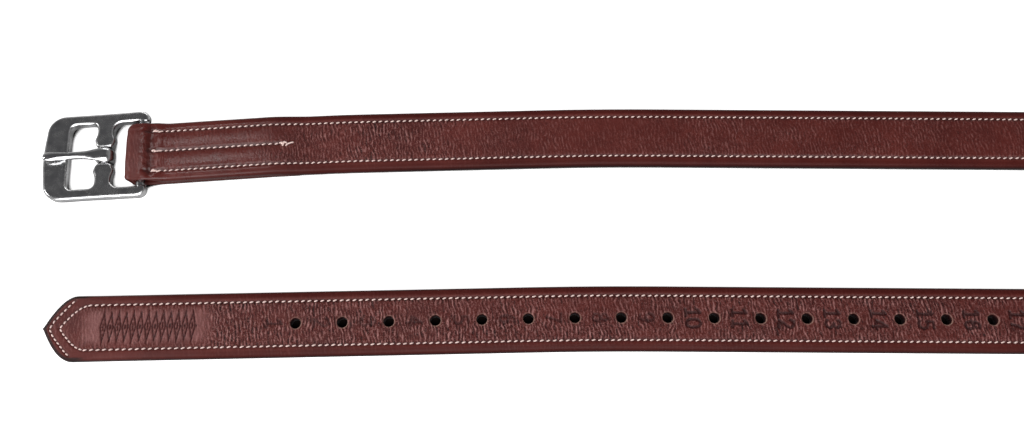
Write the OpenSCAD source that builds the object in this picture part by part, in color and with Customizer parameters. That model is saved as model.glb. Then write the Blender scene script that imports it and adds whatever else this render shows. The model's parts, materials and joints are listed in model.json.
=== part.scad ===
// Stirrup leather: a padded, stitched leather strap with a nylon core, a row
// of punched adjusting holes, and a cast steel buckle hung in a folded end.
// It lies on a table with both ends side by side, face up, and the far loop
// standing on edge.
// Origin: the point of the strap's tip, on the table.  +X runs along the tip
// section, +Y towards the buckle run, +Z up.  Millimetres.

/* [Strap] */
// Finished width of the strap
strap_w = 25.4; // [24.6:0.1:26.4]
// Finished thickness of the strap
strap_t = 4.4; // [4.2:0.1:5.0]
// Thickness of the back leather
back_t = 1.1; // [0.9:0.1:1.3]
// Width of the nylon core
core_w = 15.4; // [14.4:0.1:15.8]
// Thickness of the nylon core
core_t = 1.6; // [1.2:0.1:1.8]
// Distance of each stitch row from the centre line
row_y = 8.6; // [8.4:0.1:8.8]
// Width of a stitch row's cord
cord_w = 0.6; // [0.4:0.1:0.8]
// Height of a stitch row's cord above the face
cord_h = 0.35; // [0.2:0.05:0.4]

/* [Tip and holes] */
// Length of the pointed end
point_len = 12; // [10:0.5:14]
// Distance from the point to the first hole
first_hole = 96; // [90:0.5:100]
// Distance between holes
hole_pitch = 17.7; // [17.5:0.1:17.9]
// Number of holes
hole_count = 18; // [16:1:18]
// Diameter of a punched hole
hole_d = 4.0; // [3.4:0.1:4.4]

/* [Lie of the strap] */
// Length of the tip section, up to the first flex line
tip_len = 211; // [210.5:0.5:212]
// Length of the hole section
hole_len = 219; // [215:1:225]
// Turn of the hole section and the loop from the tip section
hole_yaw = -1.6; // [-2:0.1:0]
// Distance between the two runs, centre to centre
run_gap = 75.4; // [70:0.2:80]
// Length of the loop, from its flex line to its middle
loop_half = 263.5; // [250:0.5:280]
// Length over which the strap twists from flat to on edge
twist_len = 140; // [120:5:150]
// Length of the run's far section
far_len = 216; // [210:1:222]
// Length of the run's middle section
mid_len = 112; // [108:1:116]
// Turn of the middle section
mid_yaw = 0.32; // [0:0.02:0.6]
// Turn of the buckle end
end_yaw = 2.95; // [2:0.05:4]
// Distance from the last flex line to the buckle's end bar
end_len = 73.7; // [72:0.1:75]
// Open gap at each flex line
flex_gap = 2.0; // [1.8:0.1:2.4]

/* [Folded end] */
// Thickness of the leather folded round the end bar
fold_t = 2.0; // [1.8:0.1:2.2]
// Width of the leather folded round the end bar
fold_w = 24.8; // [24:0.1:25.4]
// Slack of the end bar in its fold
fold_slack = 2.45; // [2:0.05:4]

/* [Buckle] */
// Radius of the end bar
bar_r = 1.97; // [1.9:0.01:1.98]
// Thickness of the cast frame
frame_t = 4.2; // [3.8:0.1:4.4]
// Distance from the end bar to the front edge
frame_len = 39.2; // [38:0.2:41]
// Half width of the frame at the front
frame_hw_front = 18.2; // [17:0.1:18.5]
// Half width of the frame at the end bar
frame_hw_back = 18.5; // [18:0.1:19]
// Width of the front bar
front_bar = 9.9; // [8:0.1:10.5]
// Width of the side bars
side_bar = 4.2; // [3.8:0.1:4.4]
// Distance from the end bar to the centre bar's axis
centre_x = 15; // [14.5:0.1:16]
// Width of the centre bar
centre_bar = 6.8; // [6:0.1:7]
// Radius of the neck that the tongue turns on
neck_r = 1.95; // [1.8:0.01:1.95]
// Width of the tongue's eye
eye_w = 6.0; // [5:0.1:6.2]
// Outer radius of the tongue's eye
eye_r = 3.85; // [3.5:0.05:3.9]

/* [Hidden] */
$fn = 48;
glue_t = 0.05;                    // gap between layers
core_clearance = 0.1;             // gap at each edge of the core
bore_r = 2.05;                    // inside radius of the fold
bar_z = fold_t + bore_r;          // height of the buckle's plane
strap_hw = strap_w / 2;
half_gap = flex_gap / 2;
stitch_gap = half_gap + 0.6;      // from a flex line to the end of a stitch row
channel_hw = core_w / 2 + core_clearance;  // half width of the core's channel
core_z = back_t + glue_t;
channel_top = core_z + core_t + glue_t;
cut_z = -1;                       // cutters start below the strap
cut_h = strap_t + 3;              // and end above it
face_colour = "#5f322d";
back_colour = "#4c2823";
nylon_colour = "#d9d4c8";
thread_colour = "#eadccb";
steel_colour = "#8b8c8e";

function reversed(list) = [for (i = [len(list) - 1 : -1 : 0]) list[i]];

// ---- frames of the sections, each starting where the last one ends --------
function along(length, yaw) = length * [cos(yaw), sin(yaw)];
loop_origin = [tip_len, 0] + along(hole_len, hole_yaw);
far_origin = loop_origin + along(run_gap, hole_yaw + 90);
mid_origin = far_origin - along(far_len, hole_yaw);
end_origin = mid_origin - along(mid_len, mid_yaw);
bar_origin = end_origin - along(end_len, end_yaw);

module at(origin, yaw) {
  translate([origin[0], origin[1], 0]) rotate([0, 0, yaw]) children();
}
module in_holes() { at([tip_len, 0], hole_yaw) children(); }
module in_loop() { at(loop_origin, hole_yaw) children(); }
module in_far() { at(far_origin, hole_yaw) children(); }
module in_mid() { at(mid_origin, mid_yaw) children(); }
module in_bar() { at(bar_origin, end_yaw) children(); }

// ---- cross sections: [across, up] ------------------------------------------
// Each set of caps lists the convex polygons, as point indexes, that cover
// the end of a swept cross section.
cord_in = row_y - cord_w / 2;
cord_out = row_y + cord_w / 2;
// rounded top with the cords' edges marked on it, and a channel for the core
face_prof = [
  [-strap_hw + 0.15, core_z], [-strap_hw, strap_t / 2],
  [-strap_hw + 0.5, strap_t - 0.8], [-strap_hw + 1.6, strap_t],
  [-cord_out, strap_t], [-cord_in, strap_t], [cord_in, strap_t], [cord_out, strap_t],
  [strap_hw - 1.6, strap_t], [strap_hw - 0.5, strap_t - 0.8],
  [strap_hw, strap_t / 2], [strap_hw - 0.15, core_z],
  [channel_hw, core_z], [channel_hw, channel_top], [-channel_hw, channel_top], [-channel_hw, core_z]
];
face_caps = [[0, 1, 2, 14, 15], [2, 3, 4, 5, 6, 7, 8, 9, 13, 14], [9, 10, 11, 12, 13]];
back_prof = [
  [strap_hw - 1.2, 0], [-strap_hw + 1.2, 0], [-strap_hw + 0.2, back_t],
  [-channel_hw, back_t], [channel_hw, back_t], [strap_hw - 0.2, back_t]
];
back_caps = [[0, 1, 2, 3, 4, 5]];
// a rectangle from left to right and from bottom to top
function box_prof(left, right, bottom, top) =
  [[left, bottom], [left, top], [right, top], [right, bottom]];
box_caps = [[0, 1, 2, 3]];
core_prof = box_prof(-core_w / 2, core_w / 2, core_z, core_z + core_t);
function cord_prof(side) = box_prof(
  side * row_y - cord_w / 2, side * row_y + cord_w / 2, strap_t, strap_t + cord_h);

// a straight length of a cross section, from x0 to x1
module run(prof, x0, x1) {
  translate([x0, 0, 0]) rotate([90, 0, 90]) linear_extrude(height = x1 - x0) polygon(prof);
}
module stitch_rows(x0, x1) {
  for (side = [-1, 1]) run(cord_prof(side), x0, x1);
}
// the same for a whole section whose frame is at its +X end
module return_run(prof, length) { run(prof, half_gap - length, -half_gap); }
module return_rows(length) { stitch_rows(stitch_gap - length, -stitch_gap); }
// punched holes whose distance from the tip lies in this section
module punched(from, to) {
  for (i = [0 : hole_count - 1]) {
    dist = first_hole + i * hole_pitch;
    if (dist > from && dist < to)
      translate([dist - from, 0, cut_z]) cylinder(h = cut_h, d = hole_d);
  }
}

// ---- tip section -----------------------------------------------------------
core_start = 17;                  // the core stops short of the point
row_start = 16;                   // where the stitch rows start
point_steps = 14;
knot_r = 0.4;
// V-shaped stitching on the point: [apex x, arm end x, arm end y]
point_vees = [[2.6, 11.2, 9.9], [6.6, 15.3, row_y - 0.2]];

// stations along the point, closer together towards its end
point_xs = [for (i = [0 : point_steps]) point_len * pow(i / point_steps, 1.4)];
function point_hw(x) = strap_hw * (1 - pow(1 - x / point_len, 1.95));
module tip_outline() {
  end_x = tip_len + 5;
  translate([0, 0, cut_z]) linear_extrude(height = cut_h) polygon(concat(
    [for (x = point_xs) [x, -point_hw(x)]],
    [[end_x, -strap_hw - 1], [end_x, strap_hw + 1]],
    reversed([for (x = point_xs) [x, point_hw(x)]])));
}
// children cut to the pointed outline and punched
module tip_cut() {
  difference() {
    intersection() {
      children();
      tip_outline();
    }
    punched(0, tip_len);
  }
}
module tip_face_leather() {
  color(face_colour) tip_cut() union() {
    run(face_prof, 0, tip_len - half_gap);
    // fills the channel ahead of the core
    run(box_prof(-channel_hw, channel_hw, core_z, channel_top), 0, core_start - 0.3);
  }
}
module tip_back_leather() {
  color(back_colour) tip_cut() run(back_prof, 0, tip_len - half_gap);
}
module tip_nylon_core() {
  color(nylon_colour) difference() {
    run(core_prof, core_start, tip_len - half_gap);
    punched(0, tip_len);
  }
}
module tip_stitching() { color(thread_colour) stitch_rows(row_start, tip_len - stitch_gap); }
// one straight cord on the face
module cord(start, end) {
  reach = end - start;
  translate([start[0], start[1], strap_t]) rotate([0, 0, atan2(reach[1], reach[0])])
    translate([0, -cord_w / 2, 0]) cube([norm(reach), cord_w, cord_h]);
}
module tip_point_stitching() {
  color(thread_colour) for (vee = point_vees) {
    for (side = [-1, 1]) cord([vee[0], 0], [vee[1], side * vee[2]]);
    translate([vee[0], 0, strap_t]) cylinder(h = cord_h, r = knot_r);
  }
}

// ---- hole section ----------------------------------------------------------
module holes_layer(prof) {
  in_holes() difference() {
    run(prof, half_gap, hole_len - half_gap);
    punched(tip_len, tip_len + hole_len);
  }
}
module holes_face_leather() { color(face_colour) holes_layer(face_prof); }
module holes_back_leather() { color(back_colour) holes_layer(back_prof); }
module holes_nylon_core() { color(nylon_colour) holes_layer(core_prof); }
module holes_stitching() {
  color(thread_colour) in_holes() stitch_rows(stitch_gap, hole_len - stitch_gap);
}

// ---- loop: flat, twisting on to its outer edge, then round -----------------
// The heading swings a little outwards, then through 90 degrees to the middle
// of the loop; the second half is its mirror image.
swing = 9;                        // outward swing of the heading, degrees
swing_ease = 0.25;                // share of the swing lost towards the middle
turn_lead = 0.16;                 // share of the turn before the main bend
twist_start = 10;                 // distance from the flex line to the twist
turn_steps = 40;                  // steps in the full turn
station_steps = 44;               // steps along half the loop

function smooth(u) = let (v = min(1, max(0, u))) v * v * (3 - 2 * v);
// heading at a share u, 0 to 1, of the full turn
function heading(u) = 180 * smooth((u - turn_lead) / (1 - 2 * turn_lead))
  - swing * sin(u * 360) * (1 - swing_ease * sin(u * 180));
function step_heading(i) = heading((i + 0.5) / turn_steps);
function total(list) = list * [for (item = list) 1];

// the turn is as long as it takes to cross from one run to the other
mean_sin = total([for (i = [0 : turn_steps - 1]) sin(step_heading(i))]) / turn_steps;
turn_len = run_gap / mean_sin;
straight_len = loop_half - turn_len / 2;
step_len = turn_len / turn_steps;
// path of the turn as far as the loop's middle, one point a step
turn_path = [for (p = [straight_len, 0], i = 0; i <= turn_steps / 2;
  p = p + step_len * [cos(step_heading(i)), sin(step_heading(i))], i = i + 1) p];

// position, heading and roll at a distance from the flex line
function path(dist) = dist <= straight_len ? [dist, 0] :
  let (
    steps = (dist - straight_len) / step_len,
    i = min(turn_steps / 2 - 1, floor(steps)),
    part = steps - i)
  turn_path[i] * (1 - part) + turn_path[i + 1] * part;
function path_heading(dist) =
  dist <= straight_len ? 0 : heading((dist - straight_len) / turn_len);
function roll(dist) = 90 * smooth((dist - twist_start) / (twist_len - twist_start));
// a profile point [across, up] placed at a distance along the loop
function place(dist, point) =
  let (
    centre = path(dist),
    yaw = path_heading(dist),
    tilt = roll(dist),
    left = [-sin(yaw), cos(yaw), 0],
    vertical = [0, 0, 1],
    across = left * cos(tilt) + vertical * sin(tilt),
    up = vertical * cos(tilt) - left * sin(tilt),
    z = strap_hw * sin(tilt) + strap_t / 2 * cos(tilt))
  [centre[0], centre[1], z] + across * point[0] + up * (point[1] - strap_t / 2);

// a cross section carried along the loop through a list of distances
module sweep(prof, caps, dists) {
  size = len(prof);
  last = (len(dists) - 1) * size;
  polyhedron(
    points = [for (dist = dists) for (point = prof) place(dist, point)],
    faces = concat(
      caps,
      // two triangles a side; the diagonal follows the side's direction
      [for (j = [0 : len(dists) - 2]) for (i = [0 : size - 1])
        let (next = (i + 1) % size, a = j * size + i, b = j * size + next)
        each (prof[next][0] >= prof[i][0]
          ? [[a, a + size, b + size], [a, b + size, b]]
          : [[a, a + size, b], [b, a + size, b + size]])],
      [for (cap = caps) [for (i = [0 : len(cap) - 1]) last + cap[(len(cap) - i) % len(cap)]]]));
}
stations = [for (i = [0 : station_steps])
  half_gap + (loop_half - 2 * half_gap) * i / station_steps];
cord_stations = concat(
  [stitch_gap], [for (i = [1 : station_steps - 1]) stations[i]], [loop_half - stitch_gap]);

module loop_face() { sweep(face_prof, face_caps, stations); }
module loop_back() { sweep(back_prof, back_caps, stations); }
module loop_core() { sweep(core_prof, box_caps, stations); }
module loop_rows() {
  for (side = [-1, 1]) sweep(cord_prof(side), box_caps, cord_stations);
}
module in_mirrored_loop() {
  in_loop() translate([0, run_gap, 0]) mirror([0, 1, 0]) children();
}
module loop_a_face_leather() { color(face_colour) in_loop() loop_face(); }
module loop_a_back_leather() { color(back_colour) in_loop() loop_back(); }
module loop_a_nylon_core() { color(nylon_colour) in_loop() loop_core(); }
module loop_a_stitching() { color(thread_colour) in_loop() loop_rows(); }
module loop_b_face_leather() { color(face_colour) in_mirrored_loop() loop_face(); }
module loop_b_back_leather() { color(back_colour) in_mirrored_loop() loop_back(); }
module loop_b_nylon_core() { color(nylon_colour) in_mirrored_loop() loop_core(); }
module loop_b_stitching() { color(thread_colour) in_mirrored_loop() loop_rows(); }

// ---- run to the buckle -----------------------------------------------------
module far_face_leather() { color(face_colour) in_far() return_run(face_prof, far_len); }
module far_back_leather() { color(back_colour) in_far() return_run(back_prof, far_len); }
module far_nylon_core() { color(nylon_colour) in_far() return_run(core_prof, far_len); }
module far_stitching() { color(thread_colour) in_far() return_rows(far_len); }

module mid_face_leather() { color(face_colour) in_mid() return_run(face_prof, mid_len); }
module mid_back_leather() { color(back_colour) in_mid() return_run(back_prof, mid_len); }
module mid_nylon_core() { color(nylon_colour) in_mid() return_run(core_prof, mid_len); }
module mid_stitching() { color(thread_colour) in_mid() return_rows(mid_len); }

// ---- buckle end: the strap lies on its own folded-back end -----------------
// Measured from the end bar: x towards the strap, z up from the table.
lift = fold_t + glue_t;           // height of the strap on the folded end
slope_x = end_len - 21;           // where the strap starts down to the table
fold_end_x = end_len - 10;        // edge of the folded-back end
fold_end_z = 0.3 * lift;          // height of the strap's underside there
landing_x = end_len - 5;          // where the strap meets the table
end_x = end_len - half_gap;
// where each layer starts
end_face_x = 5.4;
end_back_x = 6;
end_channel_x = 8;
end_core_x = 8.2;
end_row_x = 6.5;

// underside of the strap, as [x, z]
underside = [[0, lift], [slope_x, lift], [fold_end_x, fold_end_z], [landing_x, 0], [end_x, 0]];
// side view of a layer between two heights above the underside, from x0 on
function layer(x0, bottom, top) =
  let (base = concat([[x0, lift]], [for (p = underside) if (p[0] > x0) p]))
  concat([for (p = base) p + [0, bottom]], reversed([for (p = base) p + [0, top]]));
// a side view made solid, centred across the strap
module slab(width) {
  rotate([90, 0, 0]) linear_extrude(height = width, center = true) children();
}
module fold_side() {
  difference() {
    union() {
      translate([-fold_slack, bar_z]) circle(r = bar_z);
      translate([-fold_slack, 0]) square([fold_slack, 2 * bar_z]);
      // root of the fold, stepping down to the face of the strap
      polygon([[0, 0], [5.5, 0], [5.5, strap_t + lift],
        [2.6, 2 * bar_z - 0.2], [1.6, 2 * bar_z], [0, 2 * bar_z]]);
      // the end folded back beneath the strap, thinned towards its edge
      polygon([[0, 0], [fold_end_x, 0], [fold_end_x, fold_end_z - 0.25],
        [slope_x, fold_t - 0.1], [5, fold_t]]);
    }
    // slot for the end bar
    translate([-fold_slack, bar_z]) circle(r = bore_r);
    translate([-fold_slack, bar_z - bore_r]) square([fold_slack, 2 * bore_r]);
    translate([0, bar_z]) circle(r = bore_r);
  }
}
module end_face_leather() {
  color(face_colour) in_bar() union() {
    slab(fold_w) fold_side();
    difference() {
      slab(strap_w) polygon(layer(end_face_x, core_z, strap_t));
      slab(2 * channel_hw) polygon(layer(end_channel_x, core_z - 1, channel_top));
    }
  }
}
module end_back_leather() {
  color(back_colour) in_bar() slab(strap_w - 0.4) polygon(layer(end_back_x, 0, back_t));
}
module end_nylon_core() {
  color(nylon_colour) in_bar()
    slab(core_w) polygon(layer(end_core_x, core_z, core_z + core_t));
}
module end_stitching() {
  color(thread_colour) in_bar() for (side = [-1, 1]) translate([0, side * row_y, 0])
    intersection() {
      slab(cord_w) polygon(layer(end_row_x, strap_t, strap_t + cord_h));
      // stops the row short of the flex line
      translate([0, -5, -1]) cube([end_len - stitch_gap, 10, 20]);
    }
}
module end_centre_stitching() {
  face_z = lift + strap_t;
  color(thread_colour) in_bar()
    slab(cord_w) polygon(box_prof(end_row_x, slope_x - 0.5, face_z, face_z + cord_h));
}

// ---- buckle: front is -X, away from the strap ------------------------------
front_corner_r = 6.8;
back_corner_r = 3.4;
window_r = 2.2;                   // corner radius of the windows
frame_back = bar_r + 0.25;
neck_hw = eye_w / 2 + 0.3;        // half width of the gap for the eye
eye_clearance = 0.05;             // between the eye and the neck
// ends of the prong's axis, as [x, z above the buckle's plane]
prong_root = [-centre_x - 2.1, 1.85];
prong_tip = [-frame_len + 1.4, 3.45];
prong_root_r = 1.75;
prong_tip_r = 1.45;

function arc(centre, radius, from, to, steps) = [for (i = [0 : steps])
  let (angle = from + (to - from) * i / steps) centre + radius * [cos(angle), sin(angle)]];
module frame_outline() {
  front = [-frame_len + front_corner_r, frame_hw_front - front_corner_r];
  back = [frame_back - back_corner_r, frame_hw_back - back_corner_r];
  polygon(concat(
    arc(front, front_corner_r, 178, 92, 8),
    arc(back, back_corner_r, 88, 0, 8),
    arc([back[0], -back[1]], back_corner_r, 0, -88, 8),
    arc([front[0], -front[1]], front_corner_r, -92, -178, 8)));
}
// half width between the side bars at x
function inside_hw(x) =
  frame_hw_back + (frame_hw_front - frame_hw_back) * (-x / frame_len) - side_bar;
// cutter for an opening between the side bars, from x0 to x1
module window(x0, x1) {
  front = [x0 + window_r, inside_hw(x0) - window_r];
  back = [x1 - window_r, inside_hw(x1) - window_r];
  translate([0, 0, bar_z - frame_t]) linear_extrude(height = 2 * frame_t) polygon(concat(
    arc(front, window_r, 180, 90, 5),
    arc(back, window_r, 90, 0, 5),
    arc([back[0], -back[1]], window_r, 0, -90, 5),
    arc([front[0], -front[1]], window_r, -90, -180, 5)));
}
// a cylinder across the buckle, in its plane
module cross_bar(x, length, radius) {
  translate([x, 0, bar_z]) rotate([90, 0, 0]) cylinder(h = length, r = radius, center = true);
}
// the tongue's prong, a taper from the eye to the front bar; grow adds
// clearance and past carries the taper on beyond its end
module prong(grow = 0, past = 0) {
  axis = prong_tip - prong_root;
  length = norm(axis) + past;
  taper = (prong_root_r - prong_tip_r) * length / norm(axis);
  translate([prong_root[0], 0, bar_z + prong_root[1]])
    rotate([0, -90 + atan2(axis[1], -axis[0]), 0])
      cylinder(h = length, r1 = prong_root_r + grow, r2 = prong_root_r - taper + grow);
}
module buckle_frame() {
  color(steel_colour) in_bar() union() {
    difference() {
      translate([0, 0, bar_z - frame_t / 2]) linear_extrude(height = frame_t) frame_outline();
      window(-frame_len + front_bar, -centre_x - centre_bar / 2);
      // runs out past the back of the frame
      window(-centre_x + centre_bar / 2, 5);
      // gap in the centre bar for the eye
      translate([-centre_x - 5, -neck_hw, bar_z - frame_t])
        cube([10, 2 * neck_hw, 2 * frame_t]);
      // groove for the prong
      prong(grow = 0.12, past = 4);
    }
    // end bar, turning in the fold
    cross_bar(0, 2 * inside_hw(0) + 1, bar_r);
    // neck of the centre bar
    cross_bar(-centre_x, 2 * neck_hw + 1, neck_r);
  }
}
module buckle_tongue() {
  color(steel_colour) in_bar() difference() {
    union() {
      cross_bar(-centre_x, eye_w, eye_r);
      prong();
      translate([prong_tip[0], 0, bar_z + prong_tip[1]]) sphere(r = prong_tip_r);
    }
    cross_bar(-centre_x, eye_w + 2, neck_r + eye_clearance);
  }
}

tip_face_leather();
tip_back_leather();
tip_nylon_core();
tip_stitching();
tip_point_stitching();
holes_face_leather();
holes_back_leather();
holes_nylon_core();
holes_stitching();
loop_a_face_leather();
loop_a_back_leather();
loop_a_nylon_core();
loop_a_stitching();
loop_b_face_leather();
loop_b_back_leather();
loop_b_nylon_core();
loop_b_stitching();
far_face_leather();
far_back_leather();
far_nylon_core();
far_stitching();
mid_face_leather();
mid_back_leather();
mid_nylon_core();
mid_stitching();
end_face_leather();
end_back_leather();
end_nylon_core();
end_stitching();
end_centre_stitching();
buckle_frame();
buckle_tongue();
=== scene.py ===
# A long stitched leather strap with eighteen numbered holes and a steel buckle.  It lies on the
# table (z = 0): the tip is at the origin and runs along +x, the middle stands on edge and turns
# back in a wide loop, and the buckle run returns towards -x on the +y side.  At the buckle the
# strap folds over the end bar and back under itself.

import json
import math
import bmesh
import bpy
import numpy as np
from mathutils import Matrix, Vector

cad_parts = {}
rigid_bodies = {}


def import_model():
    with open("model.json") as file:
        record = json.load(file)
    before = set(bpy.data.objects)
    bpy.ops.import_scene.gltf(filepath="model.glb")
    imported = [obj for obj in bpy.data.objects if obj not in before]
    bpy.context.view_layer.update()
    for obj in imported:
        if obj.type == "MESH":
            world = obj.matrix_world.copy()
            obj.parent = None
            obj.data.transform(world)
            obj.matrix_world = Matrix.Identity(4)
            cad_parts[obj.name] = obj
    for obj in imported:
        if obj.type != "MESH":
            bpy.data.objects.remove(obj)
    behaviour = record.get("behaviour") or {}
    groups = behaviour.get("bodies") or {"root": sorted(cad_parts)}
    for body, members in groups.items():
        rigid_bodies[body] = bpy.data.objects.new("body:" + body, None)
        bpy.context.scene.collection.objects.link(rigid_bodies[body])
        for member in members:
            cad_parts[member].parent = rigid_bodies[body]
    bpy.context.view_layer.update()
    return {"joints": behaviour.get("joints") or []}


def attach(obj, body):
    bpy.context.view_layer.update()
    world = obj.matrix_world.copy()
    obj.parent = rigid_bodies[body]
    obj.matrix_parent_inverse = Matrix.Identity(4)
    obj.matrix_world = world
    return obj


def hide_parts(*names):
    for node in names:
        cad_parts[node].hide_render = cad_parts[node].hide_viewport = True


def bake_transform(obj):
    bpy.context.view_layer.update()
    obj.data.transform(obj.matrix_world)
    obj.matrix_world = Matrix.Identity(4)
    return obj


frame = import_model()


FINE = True
JOINTS = {joint["name"]: joint for joint in frame["joints"]}

# ---------------------------------------------------------------------------
# Sizes, in millimetres
# ---------------------------------------------------------------------------
THICK = 4.4                   # finished thickness
HALF_WIDE = 12.7
ROW = 8.6                     # stitch rows from the centre line
LIFT = 2.05                   # the strap's height over its folded-back end
PLY = 2.0                     # thickness of the folded end
BAR_Z = 4.05                  # half the folded end's height over the table
FOLD_X = 2.45                 # the fold's round lies this far past the end bar
HOLE_PITCH = 17.7
HOLES = [96.0 + HOLE_PITCH * i for i in range(18)]
HOLE_RADIUS = 2.0
LOOP_HALF = 263.5             # length of half the loop
TWIST = 140.0                 # length over which the strap rolls onto its edge
POINT = 12.0                  # length of the rounded point
STITCH = 2.46                 # stitch pitch
CENTRE_FROM, CENTRE_TO = 3.3, 55.6      # the short middle row, from the end bar

# Flex lines and buckle pivots
TIP, HOLE, FAR, MID, END, BAR, TONGUE = (
    np.array(JOINTS[name]["pos_m"], float) * 1000.0
    for name in ("tip_lift", "hole_section_lift", "far_lift", "mid_lift", "end_lift",
                 "buckle_swing", "tongue_swing"))


def flat(start, end):
    return float(np.hypot(end[0] - start[0], end[1] - start[1]))


def yaw(start, end):
    return math.degrees(math.atan2(end[1] - start[1], end[0] - start[0]))


# Distances along the strap from its tip
S_TIP = float(TIP[0])
S_LOOP_IN = S_TIP + flat(TIP, HOLE)
S_LOOP_MID = S_LOOP_IN + LOOP_HALF
S_LOOP_OUT = S_LOOP_MID + LOOP_HALF
S_MID = S_LOOP_OUT + flat(FAR, MID)
S_END = S_MID + flat(MID, END)
S_BAR = S_END + flat(END, BAR)
YAW_HOLES = yaw(TIP, HOLE)
YAW_MID = yaw(END, MID)
YAW_END = yaw(BAR, END)
GAP = flat(HOLE, FAR)         # between the two runs at the loop's mouth
# Piece boundaries, each in the middle of a rigid section
CUTS = [HOLES[7] + HOLE_PITCH / 2, 560.0, 2 * S_LOOP_MID - 560.0,
        (S_LOOP_OUT + S_MID) / 2, (S_MID + S_END) / 2]


# ---------------------------------------------------------------------------
# Small tools
# ---------------------------------------------------------------------------
def smooth(value):
    ramp = np.clip(value, 0, 1)
    return ramp * ramp * (3 - 2 * ramp)


def unit(vectors):
    return vectors / np.linalg.norm(vectors, axis=1)[:, None]


def arc_length(points):
    return np.concatenate([[0], np.cumsum(np.linalg.norm(np.diff(points, axis=0), axis=1))])


def soften(ring, times):
    for _ in range(times):
        ring = (np.roll(ring, 1, 0) + 2 * ring + np.roll(ring, -1, 0)) / 4
    return ring


def segment_distance(x, y, start, end):
    dx, dy = end[0] - start[0], end[1] - start[1]
    part = ((x - start[0]) * dx + (y - start[1]) * dy) / max(dx * dx + dy * dy, 1e-12)
    part = np.clip(part, 0, 1)
    return np.hypot(x - start[0] - part * dx, y - start[1] - part * dy)


def line_distance(x, y, points):
    return np.minimum.reduce(
        [segment_distance(x, y, *ends) for ends in zip(points[:-1], points[1:])])


def lattice_angle(ix, iy, seed):
    bits = ix.astype(np.int64) * 374761393 + iy.astype(np.int64) * 668265263
    bits = (bits + seed * 974634777) & 0xFFFFFFFF
    bits = ((bits ^ (bits >> 13)) * 1274126177) & 0xFFFFFFFF
    bits = (bits ^ (bits >> 16)) & 0xFFFF
    return bits / 65535.0 * 2 * np.pi


def noise(x, y, seed):
    """Seeded gradient noise, about -1 to 1."""
    x0, y0 = np.floor(x), np.floor(y)
    fx, fy = x - x0, y - y0
    ease_x, ease_y = (f * f * f * (f * (f * 6 - 15) + 10) for f in (fx, fy))
    total = 0
    for dx in (0, 1):
        for dy in (0, 1):
            angle = lattice_angle(x0 + dx, y0 + dy, seed)
            dot = np.cos(angle) * (fx - dx) + np.sin(angle) * (fy - dy)
            total = total + dot * (ease_x if dx else 1 - ease_x) * (ease_y if dy else 1 - ease_y)
    return total * 1.5


def mesh_object(name, points, faces, attributes=None, sharp=50):
    """A smooth-shaded object from points in mm; edges over `sharp` degrees stay sharp."""
    mesh = bpy.data.meshes.new(name)
    mesh.from_pydata((np.asarray(points) / 1000.0).tolist(), [],
                     [list(map(int, face)) for face in faces])
    for key, values in (attributes or {}).items():
        layer = mesh.attributes.new(key, "FLOAT", "POINT")
        layer.data.foreach_set("value", np.asarray(values, np.float32))
    work = bmesh.new()
    work.from_mesh(mesh)
    bmesh.ops.recalc_face_normals(work, faces=work.faces)
    work.to_mesh(mesh)
    work.free()
    mesh.polygons.foreach_set("use_smooth", np.ones(len(mesh.polygons), bool))
    mesh.set_sharp_from_angle(angle=math.radians(sharp))
    mesh.update()
    ob = bpy.data.objects.new(name, mesh)
    bpy.context.scene.collection.objects.link(ob)
    return ob


# ---------------------------------------------------------------------------
# The strap's mid line, from the tip round the loop and over the end bar
# ---------------------------------------------------------------------------
LINE_STEP = 0.25
FOLD_JOIN = 16.0              # where the flat line hands over to the folded end, from the bar
END_DIRECTION = np.array([math.cos(math.radians(YAW_END)), math.sin(math.radians(YAW_END))])
# Samples in the folded end: thinning, level, round and return
N_THIN, N_LEVEL, N_ROUND, N_RETURN = 140, 61, 96, 250


def turn_heading(part):
    """Heading through the loop's turn; it swings out by 9 degrees before and after."""
    first = np.sin(np.clip(part / 0.5, 0, 1) * np.pi)
    second = np.sin(np.clip((part - 0.5) / 0.5, 0, 1) * np.pi)
    swing = 9.0 * (first - second) * (1 - 0.25 * np.sin(part * np.pi))
    return 180 * smooth((part - 0.16) / 0.68) - swing


TURN = GAP / float(np.mean(np.sin(np.radians(turn_heading((np.arange(400) + 0.5) / 400)))))
STRAIGHT = LOOP_HALF - TURN / 2


def heading(along):
    """Heading of the strap's line over the table, in degrees."""
    going = np.clip((along - S_LOOP_IN - STRAIGHT) / TURN, 0, 0.5)
    coming = np.clip((S_LOOP_OUT - along - STRAIGHT) / TURN, 0, 0.5)
    angle = np.where(along > S_TIP, YAW_HOLES, 0.0)
    angle = np.where(along > S_LOOP_IN, YAW_HOLES + turn_heading(going), angle)
    angle = np.where(along > S_LOOP_MID, YAW_HOLES + 180 - turn_heading(coming), angle)
    for start, direction in ((S_LOOP_OUT, YAW_HOLES), (S_MID, YAW_MID), (S_END, YAW_END)):
        angle = np.where(along > start, 180 + direction, angle)
    # round the small corners off: place, change of heading, half length of the bend
    for corner, jump, reach in ((S_TIP, YAW_HOLES, 34.0), (S_MID, YAW_MID - YAW_HOLES, 34.0),
                                (S_END, YAW_END - YAW_MID, 20.0)):
        part = (along - corner) / (2 * reach) + 0.5
        inside = (part > 0) & (part < 1)
        angle = angle + np.where(inside, jump * (smooth(part) - (along > corner)), 0)
    return angle


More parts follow.
